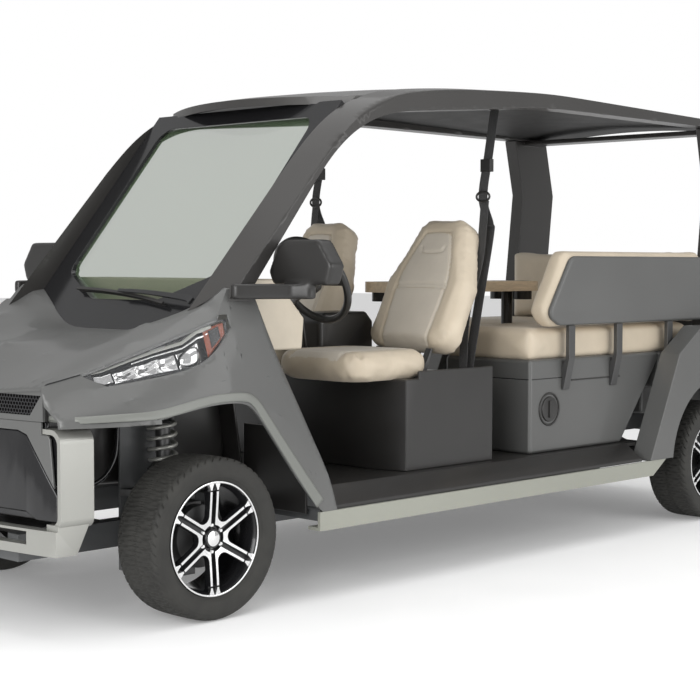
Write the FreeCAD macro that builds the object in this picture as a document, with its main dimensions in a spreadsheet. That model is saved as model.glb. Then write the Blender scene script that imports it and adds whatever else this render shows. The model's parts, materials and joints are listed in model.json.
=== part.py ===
"""Six-seat electric golf cart with a roof, a front pair of seats and an L-shaped rear lounge.

Lengths are millimetres. Every sub-part is drawn in the cart's own axes: X to the cart's left, Y towards
the rear from the front axle, Z up from the ground. A placement then moves each one along Y, so that the
origin lies on the ground under the middle of the whole cart.
"""

import FreeCAD, Part
import math
import os
from types import SimpleNamespace

from FreeCAD import Placement, Rotation, Vector

DIMENSIONS = {
    # Overall. Rear places are counted from the rear axle, heights near the roof down from its top.
    "wheelbase": 3040, "front_overhang": 615, "rear_overhang": 590, "seat_gap": 0.3, "cut_overrun": 10,
    # Wheels
    "tyre_radius": 272.5, "tread_half": 88, "section_half": 104, "bead_half": 80, "bead_radius": 181,
    "flange_radius": 192, "tyre_wall": 13, "shoulder_drop": 11, "flange_width": 8, "barrel_wall": 6,
    "bulge_radius": 226, "rim_face_in": 56, "rim_face_depth": 24, "hub_radius": 50, "hub_in": 22,
    "hub_bore_radius": 30, "hub_bore_depth": 48, "cap_radius": 34, "cap_depth": 8,
    "running_clearance": 0.3, "axle_tip_gap": 4,
    "window_inner_radius": 74, "window_outer_radius": 166, "window_inner_half": 18,
    "window_outer_half": 56, "window_corner": 10, "slot_half": 8, "slot_inner_radius": 62,
    "slot_outer_radius": 160, "front_track_half": 612, "rear_track_half": 638,
    # Front knuckles
    "kingpin_x": 540, "stub_radius": 29.7, "drum_radius": 105, "drum_depth": 50, "drum_hub_gap": 10,
    "upright_depth": 30, "upright_half": 34, "upright_low": 165, "upright_high": 385,
    "steer_arm_length": 110, "steer_arm_height": 20, "steer_arm_z": 330, "steer_arm_width": 24,
    # Front suspension
    "arm_height": 24, "arm_apex_x": 400, "arm_inner_x": 340, "arm_inner_half": 120,
    "arm_outer_half": 24, "ball_gap": 6, "ball_radius": 16, "strut_foot_x": 440, "strut_top_x": 412,
    "strut_top_z": 716, "strut_tube_radius": 22, "tower_wall": 12, "tower_half": 60,
    "tower_inner_x": 330, "tower_outer_x": 470,
    # Rear axle
    "axle_tube_radius": 38, "axle_tube_half": 560, "rear_drum_depth": 55, "diff_radius": 105,
    "diff_half": 70, "motor_radius": 95, "motor_length": 260, "leaf_half": 270, "leaf_sag": 70,
    "leaf_thickness": 14, "leaf_width": 50, "leaf_x": 315, "shackle_length": 60,
    # Chassis
    "rail_half_gap": 310, "rail_width": 60, "rail_height": 90, "rail_bottom": 225, 
    "kick_start": -430, "kick_end": -280, "rear_rail_bottom": 400,
    "cross_width": 70, "cross_height": 50, "outrigger_half": 25, "outrigger_reach": 700,
    "floor_top": 389, "floor_wall": 14, "floor_half": 640, "floor_rear": -440, "footwell_rear": 470,
    "toe_board_foot": 420, "toe_board_top": 850, "toe_board_front": 335, "footwell_half": 372,
    "sill_top": 316, "sill_front": 535, "sill_rear": -590,
    "rocker_low": 249, "rocker_outer": 739, "rocker_wall": 12, "rocker_front": 445,
    "rocker_rear": -420, "rocker_lip": 60, "rocker_tail": 60,
    "battery_half": 380, "battery_length": 420, "battery_height": 250,
    # Hood and front fenders
    "fender_front": -640, "fender_rear": 560, "flare_half": 745, "pillar_foot_z": 1115,
    "panel_wall": 10, "arch_lip_z": 684, "arch_crest_z": 722, "arch_crest_front": -20,
    "arch_crest_rear": 140, "arch_lip_rear": -230, "arch_toe_y": 436, "arch_toe_z": 324,
    "arch_round": 70, "door_edge_y": 288, "door_knee_z": 880, "door_foot_y": 530, "door_foot_z": 383,
    # Front end
    "nose_front": -603, "nose_side": -515, "nose_half": 512, "nose_low": 686, "nose_high": 800,
    "nose_inset": 10, "grille_half_low": 455, "grille_half_high": 504, "grille_low": 704,
    "grille_high": 768, "grille_inset": 22, "grille_wall": 8,
    "surround_half": 503, "surround_waist": 541, "surround_waist_z": 632, "surround_low": 440,
    "fascia_half": 572, "fascia_high": 652, "fascia_shoulder": 397, "fascia_corner": 437,
    "fascia_corner_z": 639, "fascia_flank_z": 455, "fascia_low": 374, "fascia_wall": 18,
    "fascia_relief": 18, "scoop_half": 430, "scoop_half_low": 500, "scoop_high": 398, "scoop_depth": 12,
    "bumper_low": 268, "bumper_high": 348, "bumper_half": 590, "bumper_depth": 42,
    "slot_half_width": 461, "slot_low": 298, "slot_high": 340,
    "horn_front": -552, "horn_rear": -430, "horn_rake": 50, "horn_inner": 530,
    "band_front": -548, "band_rear": -420, "band_outer": 599, "band_wall": 16, "band_top": 664,
    "band_low": 350, "band_round": 50, "band_return": 505,
    # Lamps
    "lamp_tip_y": -428, "lamp_tip_z": 826, "lamp_foot_y": -358, "lamp_foot_z": 793,
    "lamp_waist_y": -36, "lamp_waist_z": 842, "lamp_corner_y": 2, "lamp_corner_z": 856,
    "lamp_heel_y": 104, "lamp_heel_z": 966, "lamp_high": 1012, "lamp_gap": 2,
    # Windscreen
    "glass_foot_y": 60, "glass_foot_z": 934, "glass_top_y": 760, "glass_top_z": 115,
    "screen_wall": 26, "glass_wall": 6, "window_half": 440, "window_low": 1150,
    "window_dip": 1050, "window_top": 174, "window_dip_half": 190, "window_round": 60,
    # Cab frames and roof
    "cab_inner": 530, "cab_outer": 622, "foot_front_y": 91, "foot_rear_y": 235, "foot_z": 1100,
    "bend_y": 737, "roof_rail_z": 82, "cab_sweep": 68, "rail_bevel": 12, "rail_front_round": 700,
    "rail_under_round": 420, "foot_sunk": 207,
    "rail_top_y": 1320, "rail_top_z": 28, "rail_low_y": 742, "rail_low_z": 168, "rail_mid_y": 1900,
    "rail_mid_low": 70, "rail_rear_y": 400, "rail_rear_top": 35, "rail_rear_low": 75,
    "roof_high": 1900, "roof_wall": 30, "roof_crown": 34, "roof_drop": 4, "roof_front_y": 655,
    "roof_front_z": 116, "roof_sweep": 180, "roof_rear_y": 400, "roof_rear_z": 37,
    # Rear pillars
    "rear_pillar_inner": 540, "rear_pillar_outer": 612, "rear_pillar_top_y": 100,
    "rear_pillar_depth": 262, "rear_pillar_kink_y": 166, "rear_pillar_kink_z": 356,
    "rear_pillar_foot_y": 77, "back_rail_low": 950, "back_rail_high": 1190, "back_rail_wall": 20,
    "header_depth": 120, "header_height": 22,
    # Dashboard and steering
    "dash_rear": 600, "dash_top": 1128, "dash_low": 872, "dash_half": 500,
    "dash_belly": 985, "wheel_x": 346, "steering_y": 788, "steering_z": 1119, "steering_radius": 172,
    "steering_tube": 14, "column_tilt": 61, "column_radius": 30, "column_length": 190,
    "steering_hub_radius": 48, "steering_hub_depth": 30, "spoke_width": 34, "spoke_wall": 8,
    # Mirrors
    "mirror_inner": 590, "mirror_width": 310, "mirror_low": 1111, "mirror_height": 154,
    "mirror_front": 334, "mirror_depth": 72, "mirror_round": 22, "mirror_fold": 66,
    "mirror_arm_z": 1062, "mirror_arm_height": 52, "mirror_arm_width": 30, "mirror_arm_front": 125,
    "mirror_arm_rear": 255, "mirror_arm_reach": 800,
    # Front seats
    "seat_x": 346, "cushion_half": 235, "cushion_front": 780, "cushion_rear": 1240, "cushion_low": 752,
    "cushion_high": 837, "cushion_round": 100, "cushion_edge": 30, "back_foot_y": 1297,
    "back_foot_z": 852, "back_height": 590, "back_half_low": 225, "back_half_high": 120,
    "back_thickness": 105, "back_lean": 27, "back_round": 80,
    "bracket_width": 30, "bracket_wall": 10, "bracket_x": 150,
    # Seat base and console
    "base_half": 598, "base_front": 1013, "base_rear": 1566, "base_guard": 771,
    "base_corner_cut": 126, "base_corner_depth": 34, "base_wall": 10, "guard_front": 1120,
    "guard_wall": 14, "console_half": 95, "console_front": 1079, "console_rear": 1397,
    "console_high": 985, "console_step": 40,
    # Lounge
    "locker_outer": 595, "locker_inner": 130, "locker_front": 1815, "locker_foot_rear": -564,
    "locker_top_rear": -267, "locker_high": 784, "rear_base_half": 500,
    "rear_base_front": -480, "deck_low": 620,
    "lounge_high": 905, "side_cushion_inner": 100, "side_cushion_outer": 600,
    "side_cushion_front": 1800, "rear_cushion_front": -500, "lounge_cushion_rear": -5,
    "rear_back_front": 5, "rear_back_depth": 110, "rear_back_low": 907, "rear_back_high": 1245,
    "rear_back_left": 470, "side_back_inner": 540, "side_back_outer": 615, "side_back_low": 907,
    "side_back_high": 1251, "side_back_front_low": 1926, "side_back_tip": 1844,
    "side_back_front_high": 2004, "side_back_rear": 70, "shell_rear": 290, "side_back_round": 60,
    "shell_wall": 26, "shell_inset": 34, "bracket_post": 42, "bracket_low": 650, "bracket_out": 30,
    "bracket_first": 2030, "bracket_second": -660, "bracket_third": -260, "deck_step": -210, "cushion_gap": 2,
    # Table
    "table_half": 130, "table_front": 1530, "table_rear": -520, "table_high": 1105,
    "table_thickness": 46, "table_round": 80, "post_radius": 26, "post_first": 1760,
    "post_second": -640, "cup_radius": 44, "cup_depth": 40, "cup_wall": 3, "cup_offset": 68,
    "cup_inset": 90,
    # Rear body
    "rear_fender_front": -550, "rear_fender_top": 901, "crest_length": 124, "rear_fender_inner": 641,
    "rear_arch_front": -385, "rear_arch_radius": 370, "rear_arch_z": 352,
    "rear_panel_y": 440, "rear_panel_rear": 550, "rear_panel_low": 330, "rear_panel_high": 904,
    "tail_lamp_half": 60, "tail_lamp_x": 560, "tail_lamp_low": 700, "tail_lamp_high": 840,
    "tail_lamp_depth": 18, "rear_bumper_half": 560, "rear_bumper_low": 345, "rear_bumper_high": 425,
    "rear_bumper_round": 30,
    # Belts
    "belt_x": 488, "belt_width": 46, "belt_wall": 2, "belt_anchor_y": 1700, "belt_ring_y": 1626,
    "belt_ring_z": 1453, "belt_guide_y": 1674, "belt_guide_z": 1342,
    # Brake lever
    "lever_x": 60, "lever_radius": 8, "lever_foot_y": 1050, "lever_top_y": 1004, "lever_top_z": 1008,
}

doc = FreeCAD.newDocument("golf_cart")
sheet = doc.addObject("Spreadsheet::Sheet", "Dims")
for row, (alias, size) in enumerate(DIMENSIONS.items(), start=1):
    sheet.set(f"A{row}", alias)
    sheet.set(f"B{row}", str(size))
    sheet.setAlias(f"B{row}", alias)
doc.recompute()
d = SimpleNamespace(**{alias: float(sheet.get(alias)) for alias in DIMENSIONS})

REAR_PLACES = [
    "kick_start", "kick_end", "floor_rear", "sill_rear", "rocker_rear", "rail_rear_y", "roof_rear_y",
    "rear_pillar_top_y", "rear_pillar_kink_y", "rear_pillar_foot_y", "locker_foot_rear",
    "locker_top_rear", "rear_base_front", "rear_cushion_front", "lounge_cushion_rear",
    "rear_back_front", "side_back_rear", "shell_rear", "bracket_second", "bracket_third", "deck_step",
    "table_rear", "post_second", "rear_fender_front", "rear_arch_front", "rear_panel_y",
    "rear_panel_rear",
]
ROOF_PLACES = [
    "glass_top_z", "window_top", "roof_rail_z", "rail_top_z", "rail_low_z", "rail_mid_low",
    "rail_rear_top", "rail_rear_low", "roof_front_z", "roof_rear_z", "rear_pillar_kink_z",
]
for alias in REAR_PLACES:
    setattr(d, alias, d.wheelbase + getattr(d, alias))
for alias in ROOF_PLACES:
    setattr(d, alias, d.roof_high - getattr(d, alias))

CENTRING = "(Dims.front_overhang - Dims.wheelbase - Dims.rear_overhang) / 2"
centring = (d.front_overhang - d.wheelbase - d.rear_overhang) / 2
NODES = []


def keep(thing, label):
    """Name a finished sub-part; the label is also its file's name."""
    thing.Label = label
    NODES.append(thing)
    return thing


def new_body(name):
    """An empty body that is drawn in the cart's axes and centred along the cart."""
    body = doc.addObject("PartDesign::Body", name)
    body.setExpression("Placement.Base.y", CENTRING)
    return body


def new_sketch(body, plane, place="0"):
    """A sketch on one of the body's own planes, moved along that plane's axis to a place."""
    drawing = body.newObject("Sketcher::SketchObject", body.Name + "_sketch")
    role = plane + "_Plane"
    drawing.AttachmentSupport = [(next(f for f in body.Origin.OriginFeatures if f.Role == role), "")]
    drawing.MapMode = "FlatFace"
    sign = "-" if plane == "XZ" else ""
    drawing.setExpression("AttachmentOffset.Base.z", f"{sign}({place})")
    return drawing


def corner(before, point, after, radius):
    """The tangent points and the middle of the arc that rounds one corner."""
    back = (before - point).normalize()
    ahead = (after - point).normalize()
    half = back.getAngle(ahead) / 2
    room = min((before - point).Length, (after - point).Length) * ROOM_SHARE
    reach = min(radius / math.tan(half), room)
    true_radius = reach * math.tan(half)
    inward = (back + ahead).normalize()
    middle = point + inward * (true_radius / math.sin(half) - true_radius)
    return point + back * reach, middle, point + ahead * reach


def draw(drawing, points, radii=0):
    """A closed outline of straight runs, its corners rounded where a radius is given."""
    corners = [Vector(a, b, 0) for a, b in points]
    count = len(corners)
    sizes = list(radii) if isinstance(radii, (list, tuple)) else [radii] * count
    arcs = []
    for index, (point, radius) in enumerate(zip(corners, sizes)):
        if radius:
            arcs.append(corner(corners[index - 1], point, corners[(index + 1) % count], radius))
        else:
            arcs.append((point, None, point))
    for index, (first, middle, last) in enumerate(arcs):
        if middle is not None:
            drawing.addGeometry(Part.Arc(first, middle, last), False)
        following = arcs[(index + 1) % count][0]
        if (following - last).Length > d.seat_gap / 100:
            drawing.addGeometry(Part.LineSegment(last, following), False)
    return drawing


def ring(drawing, radius, centre=(0, 0)):
    """A circle."""
    drawing.addGeometry(Part.Circle(Vector(centre[0], centre[1], 0), Vector(0, 0, 1), radius), False)
    return drawing


def extrude(body, drawing, plane, low, high, cut=False):
    """Pad or cut a sketch that lies at one place as far as another place along its plane's axis."""
    kind = "PartDesign::Pocket" if cut else "PartDesign::Pad"
    feature = body.newObject(kind, body.Name + ("_cut" if cut else "_pad"))
    feature.Profile = drawing
    feature.setExpression("Length", f"({high}) - ({low})")
    feature.Reversed = (plane == "XZ") != cut
    drawing.Visibility = False
    body.Tip = feature
    return feature


def prism(body, plane, points, low, high, radii=0, cut=False):
    """An outline swept straight between two places along the axis of its plane."""
    return extrude(body, draw(new_sketch(body, plane, low), points, radii), plane, low, high, cut)


def disc(body, plane, radius, low, high, centre=(0, 0), cut=False):
    """A round boss or bore between two places along the axis of its plane."""
    return extrude(body, ring(new_sketch(body, plane, low), radius, centre), plane, low, high, cut)


def box(body, x_span, y_span, low, high, radii=0, cut=False):
    """A block with upright sides between two heights."""
    (x0, x1), (y0, y1) = x_span, y_span
    return prism(body, "XY", [(x0, y0), (x1, y0), (x1, y1), (x0, y1)], low, high, radii, cut)


def turned(body, points):
    """A profile of (along the axis, radius) points turned about the body's own X axis."""
    drawing = draw(new_sketch(body, "XY"), points)
    feature = body.newObject("PartDesign::Revolution", body.Name + "_turn")
    feature.Profile = drawing
    feature.ReferenceAxis = (drawing, ["H_Axis"])
    feature.Angle = FULL_TURN
    drawing.Visibility = False
    body.Tip = feature
    return feature


def lofted(body, stations, plane="XZ", radii=0):
    """A skin through outlines, each at its own place along the axis that its plane faces."""
    drawings = [draw(new_sketch(body, plane, place), outline, radii) for place, outline in stations]
    feature = body.newObject("PartDesign::AdditiveLoft", body.Name + "_loft")
    feature.Profile = drawings[0]
    feature.Sections = drawings[1:]
    feature.Ruled = True
    for drawing in drawings:
        drawing.Visibility = False
    body.Tip = feature
    return feature


def polar(body, feature, count):
    """Repeat a feature about the body's own X axis."""
    doc.recompute()
    pattern = body.newObject("PartDesign::PolarPattern", body.Name + "_pattern")
    pattern.Originals = [feature]
    pattern.Axis = (next(f for f in body.Origin.OriginFeatures if f.Role == "X_Axis"), [""])
    pattern.Angle = FULL_TURN
    pattern.Occurrences = count
    body.Tip = pattern
    return pattern


def combine(kind, name, *things):
    """A boolean of two finished shapes, or a group of separate solids that share one node."""
    made = doc.addObject("Part::" + kind, name)
    if kind == "Compound":
        made.Links = list(things)
    else:
        made.Base, made.Tool = things
    return made


def mirrored(thing, name):
    """The same piece on the cart's other side."""
    made = doc.addObject("Part::Mirroring", name)
    made.Source = thing
    made.Normal = (1, 0, 0)
    return made


def pair(thing, name):
    """A piece and its mirror image, as two solids in one node."""
    return combine("Compound", name, thing, mirrored(thing, name + "_other"))


def place_at(body, x, y, z, rotation=Rotation()):
    """Put a body that was drawn about its own centre where it belongs on the cart."""
    body.setExpression("Placement.Base.y", None)
    body.Placement = Placement(Vector(x, centring + y, z), rotation)
    return body


def sides(points):
    """An outline across the cart from its left half, ordered from one side to the other."""
    return [(-x, z) for x, z in reversed(points) if x] + list(points)


# Wheels

SPOKE_PAIRS = 6
FULL_TURN = 360
ROOM_SHARE = 0.49
WINDOW_SHOULDER_SHARE = 0.94


def make_tyre(name):
    """Hollow tyre turned about its axle; it sits on the rim's two bead seats."""
    crown = d.tyre_radius - d.shoulder_drop
    inner_crown = d.tyre_radius - d.tyre_wall
    lip = d.flange_radius + d.running_clearance
    inner_half = d.section_half - d.tyre_wall
    outer = [(d.bead_half, d.bead_radius), (d.bead_half, lip), (d.section_half, d.bulge_radius),
             (d.section_half, crown), (d.tread_half, d.tyre_radius)]
    inner = [(inner_half, inner_crown), (inner_half, d.bulge_radius),
             (d.bead_half - d.tyre_wall, d.bead_radius)]
    body = new_body(name)
    turned(body, outer + [(-x, r) for x, r in reversed(outer)]
           + [(-x, r) for x, r in reversed(inner)] + inner)
    return body


def make_rim(name):
    """Rim with a barrel, two flanges and a face cut through by six spoke pairs."""
    seat = d.bead_radius - d.running_clearance
    bore = seat - d.barrel_wall
    edge = d.bead_half + d.running_clearance
    rim_edge = edge + d.flange_width
    half = [(edge, seat), (edge, d.flange_radius), (rim_edge, d.flange_radius), (rim_edge, bore)]
    body = new_body(name)
    turned(body, [(-x, r) for x, r in reversed(half)] + half)
    face = "Dims.rim_face_in"
    face_out = "Dims.rim_face_in + Dims.rim_face_depth"
    disc(body, "YZ", bore + d.barrel_wall / 2, face, face_out)
    disc(body, "YZ", d.hub_radius, "Dims.hub_in", face_out)
    disc(body, "YZ", d.cap_radius, face_out, face_out + " + Dims.cap_depth")
    window = prism(body, "YZ", [(-d.window_inner_half, d.window_inner_radius),
                                (-d.window_outer_half, d.window_outer_radius * WINDOW_SHOULDER_SHARE),
                                (0, d.window_outer_radius),
                                (d.window_outer_half, d.window_outer_radius * WINDOW_SHOULDER_SHARE),
                                (d.window_inner_half, d.window_inner_radius)],
                   face, face_out, [d.window_corner, d.window_corner, 0, d.window_corner, d.window_corner],
                   cut=True)
    polar(body, window, SPOKE_PAIRS)
    turn = math.pi / SPOKE_PAIRS
    along, across = math.cos(turn), math.sin(turn)
    slot = prism(body, "YZ", [(u * along - v * across, u * across + v * along)
                              for u, v in [(-d.slot_half, d.slot_inner_radius),
                                           (-d.slot_half, d.slot_outer_radius),
                                           (d.slot_half, d.slot_outer_radius),
                                           (d.slot_half, d.slot_inner_radius)]],
                 face, face_out, 0, cut=True)
    polar(body, slot, SPOKE_PAIRS)
    doc.recompute()
    disc(body, "YZ", d.hub_bore_radius, "Dims.hub_in", "Dims.hub_in + Dims.hub_bore_depth", cut=True)
    return body


def make_wheels():
    """Four wheels; those on the right are turned half round, so every cap faces outwards."""
    spots = {"front_left": (d.front_track_half, 0), "rear_left": (d.rear_track_half, d.wheelbase),
             "front_right": (-d.front_track_half, 0), "rear_right": (-d.rear_track_half, d.wheelbase)}
    for spot, (x, y) in spots.items():
        facing = Rotation(Vector(0, 0, 1), 0 if x > 0 else 180)
        keep(place_at(make_tyre("tyre_" + spot), x, y, d.tyre_radius, facing), "tyre_" + spot)
        keep(place_at(make_rim("rim_" + spot), x, y, d.tyre_radius, facing), "rim_" + spot)


# Front axle

def make_knuckle():
    """Upright with a stub axle, a drum and a steering arm, drawn on the left side."""
    body = new_body("knuckle_left")
    hub_face = "Dims.front_track_half + Dims.hub_in"
    drum_out = hub_face + " - Dims.drum_hub_gap"
    drum_in = drum_out + " - Dims.drum_depth"
    hub = (0, d.tyre_radius)
    disc(body, "YZ", d.drum_radius, drum_in, drum_out, hub)
    tip = hub_face + " + Dims.hub_bore_depth - Dims.axle_tip_gap"
    disc(body, "YZ", d.stub_radius, drum_in, tip, hub)
    drum_back = d.front_track_half + d.hub_in - d.drum_hub_gap - d.drum_depth
    box(body, (d.kingpin_x - d.upright_depth / 2, drum_back + d.cut_overrun),
        (-d.upright_half, d.upright_half), "Dims.upright_low", "Dims.upright_high")
    half = d.steer_arm_width / 2
    box(body, (d.kingpin_x - half, d.kingpin_x + half), (0, d.steer_arm_length),
        "Dims.steer_arm_z", "Dims.steer_arm_z + Dims.steer_arm_height")
    return body


def control_arm(name, low, seat):
    """A-shaped arm from two pivots on the frame out to the ball joint under or over the upright."""
    body = new_body(name)
    tip = d.kingpin_x + d.arm_outer_half
    half = d.arm_outer_half
    points = [(d.arm_inner_x, -d.arm_inner_half), (tip, -half), (tip, half),
              (d.arm_inner_x, d.arm_inner_half), (d.arm_inner_x, d.arm_inner_half - 2 * half),
              (d.arm_apex_x, 0), (d.arm_inner_x, 2 * half - d.arm_inner_half)]
    prism(body, "XY", points, low, f"{low} + Dims.arm_height")
    disc(body, "XY", d.ball_radius, *seat, (d.kingpin_x, 0))
    return body


def make_front_suspension():
    """Lower and upper arms, a coil spring over a damper, and the spring tower, on both sides."""
    lower = control_arm("lower_arm", "Dims.upright_low - Dims.ball_gap - Dims.arm_height",
                        ("Dims.upright_low - Dims.ball_gap", "Dims.upright_low - Dims.seat_gap"))
    upper = control_arm("upper_arm", "Dims.upright_high + Dims.ball_gap",
                        ("Dims.upright_high + Dims.seat_gap", "Dims.upright_high + Dims.ball_gap"))
    foot = Vector(d.strut_foot_x, 0, d.upright_low - d.ball_gap)
    top = Vector(d.strut_top_x, 0, d.strut_top_z)
    lift = Vector(0, 0, d.strut_tube_radius * abs(foot.x - top.x) / (top - foot).Length + d.seat_gap)
    foot, top = foot + lift, top - lift
    along = top - foot
    turn = Rotation(Vector(0, 0, 1), along)
    damper = doc.addObject("Part::Cylinder", "damper")
    damper.setExpression("Radius", "Dims.strut_tube_radius")
    damper.Height = along.Length
    damper.Placement = Placement(foot + Vector(0, centring, 0), turn)
    parts = [lower, upper, damper]
    tower = new_body("spring_tower")
    low = "Dims.strut_top_z + Dims.seat_gap"
    box(tower, (d.arm_inner_x, d.tower_outer_x), (-d.tower_half, d.tower_half), low,
        low + " + Dims.tower_wall")
    parts.append(tower)
    group = combine("Compound", "suspension_side", *parts)
    keep(pair(group, "front_suspension"), "front_suspension")


def make_rear_axle():
    """Beam axle with its drive housing, two drums, the motor and two bow springs."""
    body = new_body("rear_axle")
    hub = (d.wheelbase, d.tyre_radius)
    disc(body, "YZ", d.axle_tube_radius, "-Dims.axle_tube_half", "Dims.axle_tube_half", hub)
    disc(body, "YZ", d.diff_radius, "-Dims.diff_half", "Dims.diff_half", hub)
    hub_face = "Dims.rear_track_half + Dims.hub_in"
    drum_out = hub_face + " - Dims.drum_hub_gap"
    drum_in = drum_out + " - Dims.rear_drum_depth"
    tip = hub_face + " + Dims.hub_bore_depth - Dims.axle_tip_gap"
    for side in ("", "-"):
        spans = [(d.drum_radius, drum_in, drum_out), (d.stub_radius, "Dims.axle_tube_half", tip)]
        for radius, low, high in spans:
            if side:
                low, high = f"-({high})", f"-({low})"
            disc(body, "YZ", radius, low, high, hub)
    disc(body, "XZ", d.motor_radius, "Dims.wheelbase - Dims.diff_radius / 2 - Dims.motor_length",
         "Dims.wheelbase", (0, d.tyre_radius))
    keep(body, "rear_axle")
    spring = new_body("leaf_spring")
    top = d.tyre_radius + d.axle_tube_radius + d.seat_gap
    ends = top + d.leaf_sag
    first, last = d.wheelbase - d.leaf_half, d.wheelbase + d.leaf_half
    thick = d.leaf_thickness
    drawing = new_sketch(spring, "YZ", "Dims.leaf_x")
    low = [Vector(first, ends, 0), Vector(d.wheelbase, top, 0), Vector(last, ends, 0)]
    high = [point + Vector(0, thick, 0) for point in low]
    drawing.addGeometry(Part.Arc(*low), False)
    drawing.addGeometry(Part.Arc(*reversed(high)), False)
    drawing.addGeometry(Part.LineSegment(low[2], high[2]), False)
    drawing.addGeometry(Part.LineSegment(high[0], low[0]), False)
    extrude(spring, drawing, "YZ", "Dims.leaf_x", "Dims.leaf_x + Dims.leaf_width")
    parts = [spring]
    for index, end in enumerate((first, last - d.shackle_length)):
        hanger = new_body(f"spring_hanger_{index}")
        box(hanger, (d.leaf_x, d.leaf_x + d.leaf_width), (end, end + d.shackle_length),
            f"{ends + thick + d.seat_gap}", "Dims.rear_rail_bottom - Dims.seat_gap")
        parts.append(hanger)
    group = combine("Compound", "spring_side", *parts)
    keep(pair(group, "leaf_springs"), "leaf_springs")


# Chassis

def make_frame():
    """Two box rails that rise over the rear axle, with crossmembers and outriggers to the sills."""
    rail = new_body("rail")
    top = d.rail_bottom + d.rail_height
    kick_top = d.rear_rail_bottom + d.rail_height - d.cut_overrun
    outer = d.rail_half_gap + d.rail_width
    front = nose_y(outer, d.bumper_depth - d.front_overhang - d.nose_front + d.seat_gap)
    rear = d.rear_panel_y - d.seat_gap
    points = [(front, d.rail_bottom), (d.kick_start, d.rail_bottom), (d.kick_end, d.rear_rail_bottom),
              (rear, d.rear_rail_bottom), (rear, kick_top), (d.kick_end - d.rail_height / 2, kick_top),
              (d.kick_start - d.rail_height / 2, top), (front, top)]
    prism(rail, "YZ", points, "Dims.rail_half_gap", "Dims.rail_half_gap + Dims.rail_width")
    other = mirrored(rail, "rail_other")
    cross = new_body("crossmembers")
    half = d.rail_half_gap
    low, high = "Dims.rail_bottom", "Dims.rail_bottom + Dims.cross_height"
    spots = [front, d.footwell_rear, (d.base_front + d.base_rear) / 2, d.locker_front,
             d.kick_start - d.cross_width]
    for spot in spots:
        box(cross, (-half, half), (spot, spot + d.cross_width), low, high)
    box(cross, (-half, half), (rear - d.cross_width, rear), "Dims.rear_rail_bottom",
        "Dims.rear_rail_bottom + Dims.cross_height")
    rails = combine("Fuse", "rails", combine("Fuse", "rail_and_cross", rail, cross), other)
    arms = new_body("outriggers")
    reach = d.outrigger_reach
    for spot in spots[1:4]:
        middle = spot + d.cross_width / 2
        box(arms, (-reach, reach), (middle - d.outrigger_half, middle + d.outrigger_half),
            high, "Dims.rail_bottom + Dims.rail_height")
        for side in (1, -1):
            pad_span = sorted((side * half, side * (half + d.rail_width)))
            box(arms, pad_span, (spot, spot + d.cross_width), "Dims.rail_bottom + Dims.cross_height",
                "Dims.floor_top - Dims.floor_wall - Dims.seat_gap")
    towers = new_body("suspension_towers")
    inner, face = d.tower_inner_x, d.arm_inner_x - d.seat_gap
    for side in (1, -1):
        box(towers, sorted((side * inner, side * face)), (-d.arm_inner_half, d.arm_inner_half),
            "Dims.upright_low - Dims.ball_gap - Dims.arm_height",
            "Dims.strut_top_z + Dims.seat_gap + Dims.tower_wall")
    frame = combine("Fuse", "frame_and_arms", rails, arms)
    keep(combine("Fuse", "frame_and_towers", frame, towers), "chassis_frame")


def make_floor():
    """Floor pan with sloped sills, a footwell between the front wheels and a toe board."""
    body = new_body("floor_pan")
    wall = d.floor_wall
    top, low = d.floor_top, d.floor_top - wall
    edge = d.rocker_outer - d.rocker_wall - d.seat_gap
    outline = sides([(d.floor_half, top), (edge, d.sill_top + wall), (edge, d.sill_top)])
    outline += [(d.floor_half - wall, low), (wall - d.floor_half, low)]
    prism(body, "XZ", outline, "Dims.sill_front", "Dims.wheelbase + Dims.sill_rear")
    well = d.footwell_half
    box(body, (-d.floor_half, d.floor_half), (d.sill_rear - wall, d.floor_rear),
        "Dims.floor_top - Dims.floor_wall", "Dims.floor_top")
    points = [(d.toe_board_foot, low), (d.sill_front + wall, low), (d.sill_front + wall, top),
              (d.toe_board_foot, top), (d.toe_board_front + wall, d.toe_board_top),
              (d.toe_board_front, d.toe_board_top)]
    prism(body, "YZ", points, "-Dims.footwell_half", "Dims.footwell_half")
    keep(body, "floor_pan")


def make_rockers():
    """Outer skirts under the sills, turned in at the foot and cut back at the tail."""
    body = new_body("rocker")
    out, wall = d.rocker_outer, d.rocker_wall
    high = d.sill_top
    outline = [(out - wall, high), (out, high), (out, d.rocker_low), (out - d.rocker_lip, d.rocker_low),
               (out - d.rocker_lip, d.rocker_low + wall), (out - wall, d.rocker_low + wall)]
    prism(body, "XZ", outline, "Dims.rocker_front", "Dims.wheelbase + Dims.rocker_rear")
    prism(body, "YZ", [(d.rocker_rear, high - d.seat_gap), (d.rocker_rear + wall, high - d.seat_gap),
                       (d.rocker_rear + wall, d.rocker_low - wall),
                       (d.rocker_rear - 2 * d.rocker_tail, d.rocker_low - wall)],
          "Dims.rocker_outer - Dims.rocker_lip - Dims.cut_overrun",
          "Dims.rocker_outer + Dims.cut_overrun", 0, cut=True)
    keep(pair(body, "rockers"), "rockers")


def make_battery():
    """The drive battery as one plain block on the floor under the front seats."""
    body = new_body("battery_pack")
    middle = (d.base_front + d.base_rear) / 2
    half = d.battery_length / 2
    box(body, (-d.battery_half, d.battery_half), (middle - half, middle + half),
        "Dims.floor_top", "Dims.floor_top + Dims.battery_height")
    keep(body, "battery_pack")


# Hood and front fenders: shares run across the flare's half width and up to the pillar's foot

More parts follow.
